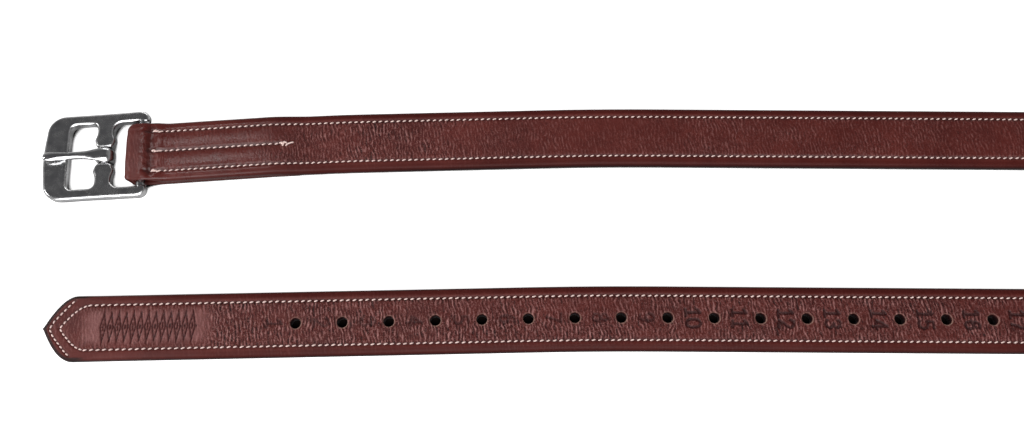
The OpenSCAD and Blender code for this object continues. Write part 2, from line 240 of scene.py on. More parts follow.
def flat_line():
    """Points, sideways directions, roll, half thickness and distance from the bar."""
    along = np.arange(0, S_BAR - FOLD_JOIN + LINE_STEP / 2, LINE_STEP)
    angle = np.radians(heading(along))
    between = np.radians(heading(along[:-1] + LINE_STEP / 2))
    x = np.concatenate([[0], np.cumsum(np.cos(between) * LINE_STEP)])
    y = np.concatenate([[0], np.cumsum(np.sin(between) * LINE_STEP)])
    # the small error left at the end is shared out along the strap
    target = BAR[:2] + END_DIRECTION * (S_BAR - along[-1])
    share = smooth((along - S_LOOP_IN) / (S_END - S_LOOP_IN))
    x += (target[0] - x[-1]) * share
    y += (target[1] - y[-1]) * share
    bar_x = S_BAR - along
    depth = np.minimum(along - S_LOOP_IN, S_LOOP_OUT - along)
    roll = np.radians(90 * smooth((depth - 10) / (TWIST - 10)))
    # the strap rises over its folded-back end
    z = HALF_WIDE * np.sin(roll) + THICK / 2 * np.cos(roll)
    z = z + LIFT * (1 - smooth((bar_x - 49.4) / 20.0))
    side = np.stack([-np.sin(angle), np.cos(angle), 0 * angle], 1)
    return np.stack([x, y, z], 1), side, roll, np.full(len(along), THICK / 2), bar_x


def folded_end():
    """The same for the end that thins, passes over the bar and returns underneath."""
    def part(x, z, half):
        return np.stack(np.broadcast_arrays(x, z, half), 1)

    thin, level, turn, back = (
        np.arange(1, count + 1) for count in (N_THIN, N_LEVEL, N_ROUND, N_RETURN))
    level_z = 2 * BAR_Z - PLY / 2
    x = FOLD_JOIN - thin * 0.1
    ease = smooth((11.0 - x) / 9.0)
    thinning = part(x, LIFT + THICK / 2 + (level_z - LIFT - THICK / 2) * ease,
                    THICK / 2 + (PLY / 2 - THICK / 2) * ease)
    radius = BAR_Z - PLY / 2
    angle = math.pi / 2 + math.pi * turn / N_ROUND
    return_x = -FOLD_X + back * 0.26
    half = PLY / 2 * (1 - 0.72 * smooth((return_x - 50.4) / 13.0))
    x, z, half = np.concatenate([
        thinning,
        part(x[-1] + (-FOLD_X - x[-1]) * level / N_LEVEL, level_z, PLY / 2),
        part(-FOLD_X + radius * np.cos(angle), BAR_Z + radius * np.sin(angle), PLY / 2),
        part(return_x, half, half)]).T
    points = np.stack([BAR[0] + END_DIRECTION[0] * x, BAR[1] + END_DIRECTION[1] * x, z], 1)
    facing = math.radians(180 + YAW_END)
    side = np.tile([-math.sin(facing), math.cos(facing), 0.0], (len(x), 1))
    return points, side, np.zeros(len(x)), half, x


LINE, SIDE, ROLL, HALF_THICK, BAR_X = (
    np.concatenate(pair) for pair in zip(flat_line(), folded_end()))
ARC = arc_length(LINE)


def line_axes():
    """Unit vectors across and up from the strap's mid line."""
    tangent = unit(np.gradient(LINE, ARC, axis=0))
    # a light smoothing keeps the folded end's tangents from stepping
    for _ in range(3):
        tangent[1:-1] = (tangent[:-2] + 2 * tangent[1:-1] + tangent[2:]) / 4
        tangent = unit(tangent)
    side = unit(SIDE - (SIDE * tangent).sum(1)[:, None] * tangent)
    normal = np.cross(tangent, side)
    cosine, sine = np.cos(ROLL)[:, None], np.sin(ROLL)[:, None]
    return side * cosine + normal * sine, normal * cosine - side * sine


ACROSS, UP = line_axes()
LEVEL_AT = len(LINE) - N_LEVEL - N_ROUND - N_RETURN
ROUND_AT = LEVEL_AT + N_LEVEL
S_OVER_BAR = float(ARC[LEVEL_AT + 24])              # about over the end bar
S_FOLD = float(ARC[ROUND_AT + N_ROUND // 2])        # the fold's outermost line
S_UNDER = float(ARC[ROUND_AT + N_ROUND])            # start of the folded-back ply
S_LAST = float(ARC[-1])


def sample(values, along):
    if values.ndim == 1:
        return np.interp(along, ARC, values)
    return np.stack([np.interp(along, ARC, column) for column in values.T], -1)


def place(along, across, above):
    """Points in mm from distances along, across and above the strap's mid line."""
    return (sample(LINE, along) + sample(ACROSS, along) * across[..., None]
            + sample(UP, along) * above[..., None])


# ---------------------------------------------------------------------------
# Relief of the strap's two faces
# ---------------------------------------------------------------------------
# Strokes of each digit, as (x, y) in hundredths of its height
DIGITS = {
    "0": [[(30, 100), (12, 90), (3, 68), (3, 32), (12, 10), (30, 0), (48, 10), (57, 32),
           (57, 68), (48, 90), (30, 100)]],
    "1": [[(10, 80), (32, 100), (32, 0)], [(10, 0), (54, 0)]],
    "2": [[(3, 78), (12, 94), (30, 100), (48, 93), (56, 76), (48, 56), (3, 0), (60, 0)]],
    "3": [[(4, 90), (20, 100), (42, 97), (54, 79), (44, 58), (25, 54), (46, 49), (57, 27),
           (45, 6), (22, 0), (2, 12)]],
    "4": [[(42, 0), (42, 100), (0, 30), (60, 30)]],
    "5": [[(54, 100), (10, 100), (6, 57), (30, 63), (51, 52), (57, 29), (43, 6), (20, 0),
           (2, 11)]],
    "6": [[(50, 94), (30, 100), (12, 82), (3, 42), (12, 10), (30, 0), (48, 8), (57, 30),
           (46, 54), (27, 58), (6, 42)]],
    "7": [[(0, 100), (58, 100), (22, 0)]],
    "8": [[(30, 100), (10, 90), (8, 68), (30, 54), (55, 35), (52, 8), (30, 0), (8, 8),
           (5, 35), (30, 54), (52, 68), (50, 90), (30, 100)]],
    "9": [[(10, 6), (30, 0), (48, 18), (57, 58), (48, 90), (30, 100), (12, 92), (3, 70),
           (14, 46), (33, 42), (54, 58)]],
}
# The two V rows at the point, as (along, distance from the centre line)
VEE_OUT = [(2.5, 0.0), (4.1, 2.9), (7.0, 6.3), (9.9, 9.5), (11.2, 10.6)]
VEE_IN = [(6.4, 0.0), (8.4, 2.6), (11.4, 5.8), (13.8, 7.6), (16.2, ROW)]
# Strength of the wrinkles, as (along, strength)
WRINKLES = [
    (0, 0.2), (14, 0.35), (20, 0.6), (60, 0.5), (66, 1.3), (150, 1.2), (230, 0.95), (400, 1.05),
    (470, 0.6), (560, 0.38), (830, 0.35), (960, 0.42), (S_BAR - 230, 0.5), (S_BAR - 190, 0.28),
    (S_BAR - 155, 0.42), (S_BAR - 95, 1.0), (S_BAR - 62, 0.75), (S_BAR - 45, 0.22)]


def numerals(along, across):
    """How deeply the hole numbers are pressed in.  Their tops point away from the tip."""
    height = 5.6
    advance = 0.6 * height + 0.9
    depth = np.zeros_like(along)
    for number, hole in enumerate(HOLES, 1):
        centre = hole - 8.0
        near = (np.abs(along - centre) < 4.2) & (np.abs(across) < 6.0)
        if not near.any():
            continue
        text = str(number)
        left = -(len(text) * advance - 0.9) / 2
        y = (along[near] - centre) / height + 0.5
        gap = np.full(y.shape, 9.0)
        for i, digit in enumerate(text):
            x = (-across[near] - left - i * advance) / height
            for stroke in DIGITS[digit]:
                gap = np.minimum(gap, line_distance(x, y, np.array(stroke) / 100) * height)
        strength = 0.6 if number < 10 else 1.0
        depth[near] = np.maximum(depth[near], strength * smooth((0.74 - gap) / 0.42))
    return depth


def lozenges(along, across):
    """A plain band of tall lozenges tooled near the tip, 0 to 1."""
    first, last, count, tall = 21.8, 58.4, 13, 5.7
    depth = np.zeros_like(along)
    near = (along > first - 1) & (along < last + 1) & (np.abs(across) < tall + 1)
    if not near.any():
        return depth
    place_s = along[near]
    wide = (last - first) / count
    x = (place_s - first) % wide - wide / 2
    inside = (place_s > first - 0.2) & (place_s < last + 0.2)
    half = wide / 2 - 0.25
    size = np.abs(x) / half + np.abs(across[near]) / tall
    slope = math.hypot(1 / half, 1 / tall)
    outline = smooth((0.42 - np.abs(size - 0.93) / slope) / 0.3)
    heart = smooth((0.40 - size) / slope / 0.2)
    depth[near] = np.where(inside, np.maximum(outline, heart), 0)
    return depth


def hole_rims(along, across):
    """Where the leather is drawn down round the holes, 0 to 1."""
    rim = np.zeros_like(along)
    for hole in HOLES:
        near = (np.abs(along - hole) < 5) & (np.abs(across) < 5)
        if near.any():
            radius = np.hypot(along[near] - hole, across[near])
            rim[near] = np.exp(-np.clip(radius - HOLE_RADIUS, 0, 9) / 0.55)
    return rim


def half_width(along):
    tip = HALF_WIDE * (1 - np.power(np.clip(1 - along / POINT, 0, 1), 1.95))
    half = np.maximum(np.where(along < POINT, tip, HALF_WIDE), 0.3)
    over = smooth((along - (S_OVER_BAR - 9)) / 7.0)
    turn = np.exp(-((along - S_FOLD) / 3.2) ** 4)
    return half - 0.30 * over - 1.5 * turn


def edge_round(along):
    """Width of the rounded edge: cut square at the point, rolled along the sides."""
    edge = 0.55 + 1.5 * smooth((along - 6) / 22.0)
    folded = 2.05 - 1.0 * smooth((along - S_OVER_BAR + 5) / 6.0)
    edge = np.where(along > S_OVER_BAR - 5, folded, edge)
    return np.minimum(edge, 0.45 * half_width(along))


def stitch_grooves(along, across):
    """The side rows with the V rows, and the middle row, each 0 to 1 deep."""
    y = np.abs(across)
    bar_x = sample(BAR_X, along)
    on_top = along < S_OVER_BAR
    stitched = on_top | (along > S_UNDER + 6.0)
    rows = np.exp(-((y - ROW) / 0.62) ** 2) * smooth((along - 15.0) / 2.0)
    rows = np.where(on_top & (along > S_BAR - 20), rows * smooth((bar_x - 0.6) / 2.0), rows)
    rows = np.where(stitched, rows, 0)
    vee = np.maximum.reduce(
        [np.exp(-(line_distance(along, y, line) / 0.55) ** 2) for line in (VEE_OUT, VEE_IN)])
    rows = np.maximum(rows, np.where(along < 18, vee, 0))
    middle = np.exp(-(across / 0.75) ** 2) * smooth((bar_x - CENTRE_FROM + 1.5) / 2.0)
    middle = middle * smooth((CENTRE_TO + 1.5 - bar_x) / 1.5)
    return rows, np.where(stitched & (along > S_BAR - 70), middle, 0)


def ripple(along, across):
    """Fine wrinkles that run across the strap, wavy and broken, about -1 to 1."""
    lean = along + 0.12 * across + 0.95 * noise(along / 5.0, across / 5.2, 3)
    lean = lean + 0.34 * noise(along / 2.3, across / 2.4, 4)
    strength = np.clip(0.74 + 0.7 * noise(along / 3.4, across / 6.0, 9), 0.10, 1.2)
    shift = 2.2 * noise(along / 9.0, across / 7.5, 8)
    return np.sin(2 * np.pi * lean / 1.36 + shift) * strength


def wrinkle_at(along, across):
    """How strongly the face is wrinkled."""
    strength = np.interp(along, *np.transpose(WRINKLES))
    strength = strength * (0.85 + 0.45 * noise(along / 17.0, across / 9.0, 41))
    middle = smooth((9.2 - np.abs(across)) / 1.2)
    return np.clip(strength, 0.05, 1.4) * (0.10 + 0.90 * middle)


def creases(along, across):
    """The wrinkles' relief, in mm, with a finer pebbling over it, fading at edges and cuts."""
    pebbles = noise(along / 0.9 + 9, across / 1.1, 12)
    relief = wrinkle_at(along, across) * (0.095 * ripple(along, across) + 0.035 * pebbles)
    relief = relief * smooth((half_width(along) - 1.0 - np.abs(across)) / 1.2)
    relief = relief * np.where(along > S_OVER_BAR - 6, 0.35, 1.0)
    for cut in CUTS:
        relief = relief * smooth((np.abs(along - cut) - 0.15) / 1.1)
    return relief


def face_relief(along, across):
    """Height of the face over the mid line, how far it is pressed, and its groove shading."""
    y = np.abs(across)
    bar_x = sample(BAR_X, along)
    rows, middle = stitch_grooves(along, across)
    crown = 0.10 * np.clip(1 - (y / ROW) ** 2, -0.6, 1) * smooth((along - 14) / 12)
    # the rolled margins outside the stitching
    margin = 0.26 * np.clip((y - 9.8) / 1.1, 0, 1.4) ** 2 * smooth((along - 12) / 16)
    height = sample(HALF_THICK, along) - 1.0 * smooth((26.0 - along) / 26.0)
    height = height + crown - margin - 0.40 * rows
    # padded lobes between the three rows at the buckle end
    lobes = smooth((bar_x - 3.0) / 5.0) * smooth((62 - bar_x) / 18.0)
    lobes = np.where((along > S_BAR - 80) & (along < S_OVER_BAR), lobes, 0)
    swell = 0.78 * np.sin(np.clip(y / ROW, 0, 1) * np.pi) ** 0.8 - 0.30
    height = height + lobes * swell - 0.45 * middle
    # the puckered dip just behind the end bar
    near_end = (along > S_BAR - 30) & (along < S_OVER_BAR + 1)
    dip = np.exp(-((bar_x - 3.9) / 1.6) ** 2) * smooth((12.2 - y) / 2.2)
    pucker = np.exp(-((bar_x - 2.5) / 3.2) ** 2) * noise(across / 1.7, bar_x / 5.0, 22)
    sunk = 1.05 * dip * (0.85 + 0.4 * noise(across / 3.2, bar_x / 5.0, 21)) + 0.20 * pucker
    height = height - np.where(near_end, sunk, 0)
    # each stitch pulls the leather in at its ends
    pull = 0.5 + 0.5 * np.cos(2 * np.pi * ((along - STITCH_PHASE) / STITCH + 0.5))
    pull = pull * np.exp(-((y - ROW) / 1.0) ** 2) * smooth((along - 17) / 3)
    # soft unevenness of the padding
    uneven = 0.10 * noise(along / 21.0, across / 13.0, 1) * smooth((HALF_WIDE - 1.2 - y) / 3)
    uneven = uneven + 0.045 * noise(along / 5.5, across / 4.4, 2)
    height = height - 0.13 * pull + uneven + creases(along, across)
    numbers, tooling = numerals(along, across), lozenges(along, across)
    height = height - (numbers * 0.50 + tooling * 0.52) - 0.16 * hole_rims(along, across)
    # painted shade, carried with the stitch grooves in the groove value: in the dip behind the
    # end bar, and in patches round the fold
    patchy_fold_shade = np.clip(noise(across / 2.6, bar_x / 3.0, 51), 0, 1) * smooth((6.0 - bar_x) / 3.0)
    turn = np.exp(-((along - S_FOLD) / 2.2) ** 2) + 0.6 * patchy_fold_shade
    shade = np.where(near_end, 0.75 * dip, 0) + np.where(along > S_BAR - 12, 0.45 * turn, 0)
    pressed = np.clip(numbers * 1.15 + tooling * 0.95, 0, 1.2)
    return height, pressed, np.clip(rows + middle + shade, 0, 1.15)


def face_height(along, across):
    return face_relief(along, across)[0]


def back_height(along, across):
    # the folded end hides the back's grooves near the buckle
    rows = np.where(along < S_BAR - 58, 0.32 * stitch_grooves(along, across)[0], 0.0)
    grain = 0.05 * np.abs(noise(along / 6.0, across / 4.5, 31)) + 0.02
    return rows - sample(HALF_THICK, along) + grain


def gloss_at(along, across):
    """Where the leather is drawn smooth: the margins, the lobes and the fold."""
    margin = smooth((np.abs(across) - 9.9) / 0.9) * smooth((along - 16) / 8) * 0.35
    end = np.where(along > S_BAR - 92, smooth((68 - sample(BAR_X, along)) / 26.0), 0)
    end = np.where(along > S_OVER_BAR, 0.4, end)
    calm = smooth((along - 430) / 40) * smooth((1160 - along) / 80) * 0.5
    return np.clip(np.maximum.reduce([margin, 0.85 * end, calm]), 0, 1)


def paint_at(along, across):
    """The cut edge at the point is painted dark."""
    slope = (half_width(along + 0.05) - half_width(along - 0.05)) / 0.1
    inward = (half_width(along) - np.abs(across)) / np.hypot(1, slope)
    return smooth((1.6 - inward) / 0.55) * smooth((19.0 - along) / 5.0)


STITCH_PHASE = (S_BAR - CENTRE_FROM) % STITCH

# ---------------------------------------------------------------------------
# The strap's mesh: rings of points round its section, and a lining for every hole
# ---------------------------------------------------------------------------
FLAT_HALF = 10.7              # half width that the columns are laid out on
N_HALF = int(round(FLAT_HALF / (0.3147 if FINE else 0.6294)))
TOP_COLUMNS = np.arange(-N_HALF, N_HALF + 1) * (FLAT_HALF / N_HALF)
N_TOP = len(TOP_COLUMNS)
# the back keeps every column near the holes and every third elsewhere
KEPT = [i for i, across in enumerate(TOP_COLUMNS)
        if abs(across) < 3.4 or i % 3 == 0 or i in (0, N_TOP - 1)]
N_EDGE = 9 if FINE else 5
EDGE_ANGLES = math.pi * np.arange(1, N_EDGE) / N_EDGE      # 0 at the top, pi at the bottom
# place in the ring of the back point under each kept column
BACK_AT = {column: N_TOP + N_EDGE - 1 + i for i, column in enumerate(reversed(KEPT))}
# Columns and distance along that the patch round a hole spans
HOLE_C0 = int(np.where(TOP_COLUMNS >= -3.2)[0][0])
HOLE_C1 = int(np.where(TOP_COLUMNS <= 3.2)[0][-1])
HOLE_REACH = 2.8
# Ring spacing, as (up to, step, step when quick)
RING_STEPS = [
    (4.0, 0.22, 0.22), (14.0, 0.28, 0.28), (228.65, 0.33, 0.66), (402.0, 0.36, 0.72),
    (S_LOOP_IN + 40, 0.6, 1.2), (S_LOOP_OUT - 40, 0.8, 1.6), (S_END, 0.42, 0.84),
    (S_BAR - 14, 0.36, 0.7), (S_UNDER + 2, 0.2, 0.2), (S_LAST, 0.42, 0.84)]


def ring_places(first, last):
    parts, start = [], 0
    for end, fine, quick in RING_STEPS:
        low, high = max(start, first), min(end, last)
        if high - low > 1e-6:
            count = max(1, int(round((high - low) / (fine if FINE else quick))))
            parts.append(np.linspace(low, high, count + 1)[:-1])
        start = end
    return np.concatenate(parts + [[last]])


def strap_rings(places):
    """Along, across, above, side, press and groove of every point, as (6, rings, points)."""
    edge = edge_round(places)[:, None]
    flat_half = half_width(places)[:, None] - edge
    top = TOP_COLUMNS * (flat_half / FLAT_HALF)
    face, pressed, grooved = face_relief(np.broadcast_to(places[:, None], top.shape), top)
    bottom = top[:, KEPT]
    back = back_height(np.broadcast_to(places[:, None], bottom.shape), bottom)
    bulge, drop = np.sin(EDGE_ANGLES) ** 0.85, np.cos(EDGE_ANGLES)

    def edge_above(column):
        upper, lower = face[:, column, None], back[:, column, None]
        return (upper + lower) / 2 + (upper - lower) / 2 * drop

    out = flat_half + edge * bulge
    across = np.concatenate([top, out, bottom[:, ::-1], -out[:, ::-1]], 1)
    above = np.concatenate([face, edge_above(-1), back[:, ::-1], edge_above(0)[:, ::-1]], 1)
    side = np.concatenate([np.ones(N_TOP), drop, -np.ones(len(KEPT)), drop[::-1]])
    press, groove = np.zeros(across.shape), np.zeros(across.shape)
    press[:, :N_TOP], groove[:, :N_TOP] = pressed, grooved
    return np.stack(np.broadcast_arrays(places[:, None], across, above, side, press, groove))


def hole_lining(hole, places, grid, surface, keep, count):
    """Opens the grid round a hole; returns the lining's points and faces."""
    r0 = int(np.where(places <= hole - HOLE_REACH)[0][-1])
    r1 = int(np.where(places >= hole + HOLE_REACH)[0][0])
    columns = list(range(HOLE_C0, HOLE_C1 + 1))
    path = [(r0, c) for c in columns] + [(r, HOLE_C1) for r in range(r0 + 1, r1 + 1)]
    path += [(r1, c) for c in reversed(columns[:-1])]
    path += [(r, HOLE_C0) for r in range(r1 - 1, r0, -1)]
    keep[r0:r1, HOLE_C0:HOLE_C1] = False
    keep[r0:r1, BACK_AT[HOLE_C1]:BACK_AT[HOLE_C0]] = False
    loops = [np.array([grid[r, c] for r, c in path])]
    x, y = surface[0, loops[0]] - hole, surface[1, loops[0]]
    angle, reach = np.arctan2(y, x), np.hypot(y, x)
    lip, back_lip = HOLE_RADIUS + 0.66, HOLE_RADIUS + 0.15
    # the cut edge is pale all round, with a painted highlight on the side facing the light
    pale_painted_highlight = -(0.50 + 0.50 * np.clip(np.cos(angle + math.radians(50)), 0, 1))

    def centre_height(along, across):
        return 0 * along

    # the groove column carries the painted highlight on the lip and the painted shade on the
    # wall
    # radius, surface it follows, height over that, side, groove
    layers = [
        (lip + (reach - lip) * 0.55, face_height, 0.0, 1.0, 0.0),
        (lip, face_height, 0.0, 1.0, 0.0),
        (HOLE_RADIUS + 0.40, face_height, 0.05, 1.0, pale_painted_highlight * 0.9),
        (HOLE_RADIUS + 0.14, face_height, -0.02, 1.0, pale_painted_highlight),
        (HOLE_RADIUS, face_height, -0.24, 0.5, 1.0),
        (HOLE_RADIUS, centre_height, 0.0, 0.0, 2.0),
        (HOLE_RADIUS, back_height, 0.2, -0.5, 2.0),
        (back_lip, back_height, 0.0, -1.0, 0.0),
        (back_lip + (reach - back_lip) * 0.5, back_height, 0.0, -1.0, 0.0)]
    points = []
    for radius, height, shift, side, groove in layers:
        along, across = hole + radius * np.cos(angle), radius * np.sin(angle)
        above = height(along, across) + shift
        points.append(np.stack(np.broadcast_arrays(along, across, above, side, 0.0, groove)))
        loops.append(np.arange(count, count + len(angle)))
        count += len(angle)
    loops.append(np.array([grid[r, BACK_AT[c]] for r, c in path]))
    faces = []
    for upper, lower in zip(loops[:-1], loops[1:]):
        quads = np.stack([upper, np.roll(upper, -1), np.roll(lower, -1), lower], 1)
        faces.extend(quads.tolist())
    return np.concatenate(points, 1), faces


def back_faces(mesh, along, side):
    """1 for the faces of the underside between the rolled edges, 0 elsewhere."""
    corners = np.zeros(len(mesh.loops), np.int32)
    mesh.loops.foreach_get("vertex_index", corners)
    start = np.zeros(len(mesh.polygons), np.int32)
    total = np.zeros(len(mesh.polygons), np.int32)
    mesh.polygons.foreach_get("loop_start", start)
    mesh.polygons.foreach_get("loop_total", total)
    mean_side = np.add.reduceat(side[corners], start) / total
    mean_along = np.add.reduceat(along[corners], start) / total
    return ((mean_side < -0.995) & (mean_along < S_BAR - 10)).astype(np.int32)


def build_strap(name, first, last):
    places = ring_places(first, last)
    surface = strap_rings(places)
    rings, size = surface.shape[1:]
    grid = np.arange(rings * size).reshape(rings, size)
    surface = surface.reshape(6, -1)
    keep = np.ones((rings - 1, size), bool)
    hole_faces = []
    for hole in HOLES:
        if first + 4 < hole < last - 4:
            points, faces = hole_lining(hole, places, grid, surface, keep, surface.shape[1])
            surface = np.concatenate([surface, points], 1)
            hole_faces += faces
    following = np.roll(grid, -1, axis=1)
    quads = np.stack([grid[:-1], following[:-1], following[1:], grid[1:]], -1)[keep]
    faces = quads.tolist() + hole_faces + [grid[0].tolist(), grid[-1][::-1].tolist()]
    along, across, above, side, press, groove = surface
    attributes = {
        "ls": along, "la": across, "side": side, "press": press, "groove": groove,
        "gloss": gloss_at(along, across), "paint": paint_at(along, across),
        "wrinkle": wrinkle_at(along, across), "ripple": ripple(along, across)}
    ob = mesh_object(name, place(along, across, above), faces, attributes, sharp=55)
    ob.data.materials.append(LEATHER)
    ob.data.materials.append(BACKING)
    ob.data.polygons.foreach_set("material_index", back_faces(ob.data, along, side))
    return ob


# ---------------------------------------------------------------------------
# Stitches, as (along, across, angle in the strap's plane, length, face, radius);
# the face is 1 for the upper and -1 for the back
# ---------------------------------------------------------------------------
THREAD_RINGS, THREAD_SIDES = (7, 8) if FINE else (4, 6)
SLANT = math.radians(19)
STITCHES = []
rng = np.random.RandomState(7)


def add_row(across, first, last, face, slant, phase=STITCH_PHASE, length=1.70, radius=0.275):
    start, end = math.ceil((first - phase) / STITCH), math.floor((last - phase) / STITCH)
    for i in range(start, end + 1):
        shift = rng.uniform(-1, 1, 3)
        STITCHES.append((i * STITCH + phase + 0.03 * shift[0], across + 0.05 * shift[1],
                         slant + 0.06 * shift[2], length, face, radius))


def add_vee(points, sign, face, turn=0.0):
    points = np.array(points, float)
    arc = arc_length(points)
    count = max(1, int(round(arc[-1] / 2.0)))
    for i in range(count):
        middle = arc[-1] * (i + 0.5) / count
        (x, x1, x2), (y, y1, y2) = (
            np.interp([middle, middle - 0.4, middle + 0.4], arc, column) for column in points.T)
        shift = rng.uniform(-1, 1, 3)
        angle = math.atan2(sign * (y2 - y1), x2 - x1)
        STITCHES.append((x, sign * y + 0.04 * shift[0], angle + turn + 0.05 * shift[1],
                         1.5, face, 0.28))


def lay_stitches():
    hidden = {"length": 1.9, "radius": 0.26}      # on the back and the folded-back ply
    for sign in (-1, 1):
        add_row(sign * ROW, 16.6, S_BAR - 3.0, 1, SLANT)
        add_row(sign * ROW, 16.6, S_BAR - 60.0, -1, SLANT * 0.5, **hidden)
        # on the folded-back ply the upper face is turned down
        add_row(sign * ROW, S_UNDER + 7.5, S_LAST - 3.0, 1, -SLANT * 0.5, phase=0.4, **hidden)
        add_vee(VEE_OUT, sign, 1, turn=0.12)
        add_vee(VEE_IN, sign, 1, turn=0.12)
        add_vee(VEE_OUT, sign, -1)
        add_vee(VEE_IN, sign, -1)
        # back-tacks where the rows start
        for i in range(3):
            STITCHES.append((S_BAR - 3.4 - 0.85 * i, sign * ROW + 0.30 * (i - 1),
                             SLANT * 1.5, 1.6, 1, 0.31))
    add_row(0.0, S_BAR - CENTRE_TO, S_BAR - CENTRE_FROM + 0.5, 1, SLANT)
    add_row(0.0, S_UNDER + 9.0, S_UNDER + 53.0, 1, -SLANT * 0.5, phase=0.4, **hidden)
    # knot and back-tack at the ends of the middle row: (along, across, angle)
    knot = [(-1.0, 0.6, 0.8), (-0.3, -0.4, -0.4), (0.5, 0.5, 1.1), (1.2, -0.35, 0.1),
            (-1.9, 0.1, 0.35), (-2.9, -0.25, 0.2)]
    tack = [(0.2, 0.35, 0.5), (0.9, -0.25, 0.2), (-0.8, 0.1, 0.5)]
    for start, marks, length, radius in ((S_BAR - CENTRE_TO, knot, 1.8, 0.33),
                                         (S_BAR - CENTRE_FROM - 0.8, tack, 1.6, 0.31)):
        for x, y, angle in marks:
            STITCHES.append((start + x, y, angle, length, 1, radius))
    STITCHES.sort(key=lambda stitch: stitch[0])


def build_stitches(name, stitches):
    columns = np.array(stitches, float).T[:, :, None]
    start, offset, angle, length, face, radius = columns
    part = np.linspace(-1, 1, THREAD_RINGS)
    around = np.arange(THREAD_SIDES) * 2 * np.pi / THREAD_SIDES
    cosine, sine = np.cos(angle), np.sin(angle)
    along = start + length / 2 * part * cosine
    across = offset + length / 2 * part * sine
    seat = np.where(face > 0, face_height(along, across), back_height(along, across))
    arch = 0.17 - 0.42 * np.abs(part) ** 3.2
    above = seat.mean(1)[:, None] + face * arch
    girth = radius * np.sqrt(np.clip(1 - np.abs(part * 0.97) ** 5, 0.05, 1))
    # a two-ply twist shows as a slight change of girth round the thread
    twist = 1 + 0.10 * np.cos(2 * around - 5.5 * part[:, None])
    wide = girth[:, :, None] * np.cos(around) * twist
    tall = girth[:, :, None] * np.sin(around) * 0.85 * twist
    along = (along[:, :, None] - wide * sine[:, :, None]).ravel()
    across = (across[:, :, None] + wide * cosine[:, :, None]).ravel()
    above = (above[:, :, None] + tall).ravel()
    size = THREAD_RINGS * THREAD_SIDES
    base = (np.arange(len(stitches)) * size)[:, None, None]
    ring = np.arange(THREAD_RINGS - 1)[:, None] * THREAD_SIDES
    here = np.arange(THREAD_SIDES)[None]
    after = (here + 1) % THREAD_SIDES
    quads = np.stack([ring + here, ring + after, ring + THREAD_SIDES + after,
                      ring + THREAD_SIDES + here], -1)
    faces = (base[..., None] + quads[None]).reshape(-1, 4).tolist()
    for i in range(len(stitches)):
        faces.append([i * size + k for k in range(THREAD_SIDES)])
        faces.append([(i + 1) * size - 1 - k for k in range(THREAD_SIDES)])
    ob = mesh_object(name, place(along, across, above), faces, {"ls": along, "la": across},
                     sharp=70)
    ob.data.materials.append(THREAD)
    return ob


# ---------------------------------------------------------------------------
# Materials
# ---------------------------------------------------------------------------
def srgb(*channels):
    def linear(value):
        return value / 12.92 if value <= 0.04045 else ((value + 0.055) / 1.055) ** 2.4
    return tuple(linear(channel / 255) for channel in channels) + (1.0,)


class Nodes:
    """A short way to write a node tree."""

    def __init__(self, tree):
        self.tree = tree
        tree.nodes.clear()

    def put(self, socket, value):
        """Links the value if it is a socket, otherwise sets it."""
        if isinstance(value, bpy.types.NodeSocket):
            self.tree.links.new(value, socket)
        else:
            socket.default_value = value

    def fill(self, node, inputs):
        for key, value in inputs.items():
            self.put(node.inputs[key], value)

    def add(self, kind, *inputs, **settings):
        node = self.tree.nodes.new(kind)
        for key, value in settings.items():
            setattr(node, key, value)
        self.fill(node, dict(enumerate(inputs)))
        return node

    def math(self, operation, *values):
        return self.add("ShaderNodeMath", *values, operation=operation).outputs[0]

    def times(self, first, second):
        return self.math("MULTIPLY", first, second)

    def plus(self, first, second):
        return self.math("ADD", first, second)

    def minus(self, first, second):
        return self.math("SUBTRACT", first, second)

    def attribute(self, name):
        return self.add("ShaderNodeAttribute", attribute_name=name).outputs["Fac"]

    def vector(self, x, y, z):
        return self.add("ShaderNodeCombineXYZ", x, y, z).outputs[0]

    def noise(self, vector, scale, detail=2.0, rough=0.5, distortion=0.0):
        node = self.add("ShaderNodeTexNoise")
        self.fill(node, {"Vector": vector, "Scale": scale, "Detail": detail,
                         "Roughness": rough, "Distortion": distortion})
        return node.outputs["Fac"]

    def cells(self, vector, scale):
        node = self.add("ShaderNodeTexVoronoi", feature="F1")
        self.fill(node, {"Vector": vector, "Scale": scale})
        return node.outputs["Distance"]

    def mix(self, mask, base, tone):
        node = self.add("ShaderNodeMix", data_type="RGBA")
        self.fill(node, {0: mask, 6: base, 7: tone})
        return node.outputs[2]

    def coats(self, base, *coats):
        """Lays (mask, colour) coats over a base colour."""
        for mask, tone in coats:
            base = self.mix(mask, base, tone)
        return base

    def ramp(self, value, over, to=(0.0, 1.0)):
        return self.add("ShaderNodeMapRange", value, *over, *to, clamp=True).outputs[0]

    def bump(self, height, strength, distance, normal=None):
        node = self.add("ShaderNodeBump")
        self.fill(node, {"Strength": strength, "Distance": distance, "Height": height})
        if normal is not None:
            self.put(node.inputs["Normal"], normal)
        return node.outputs[0]


def new_look(name):
    material = bpy.data.materials.new(name)
    material.use_nodes = True
    nodes = Nodes(material.node_tree)
    shader = nodes.add("ShaderNodeBsdfPrincipled")
    nodes.add("ShaderNodeOutputMaterial", shader.outputs[0])
    return material, nodes, shader


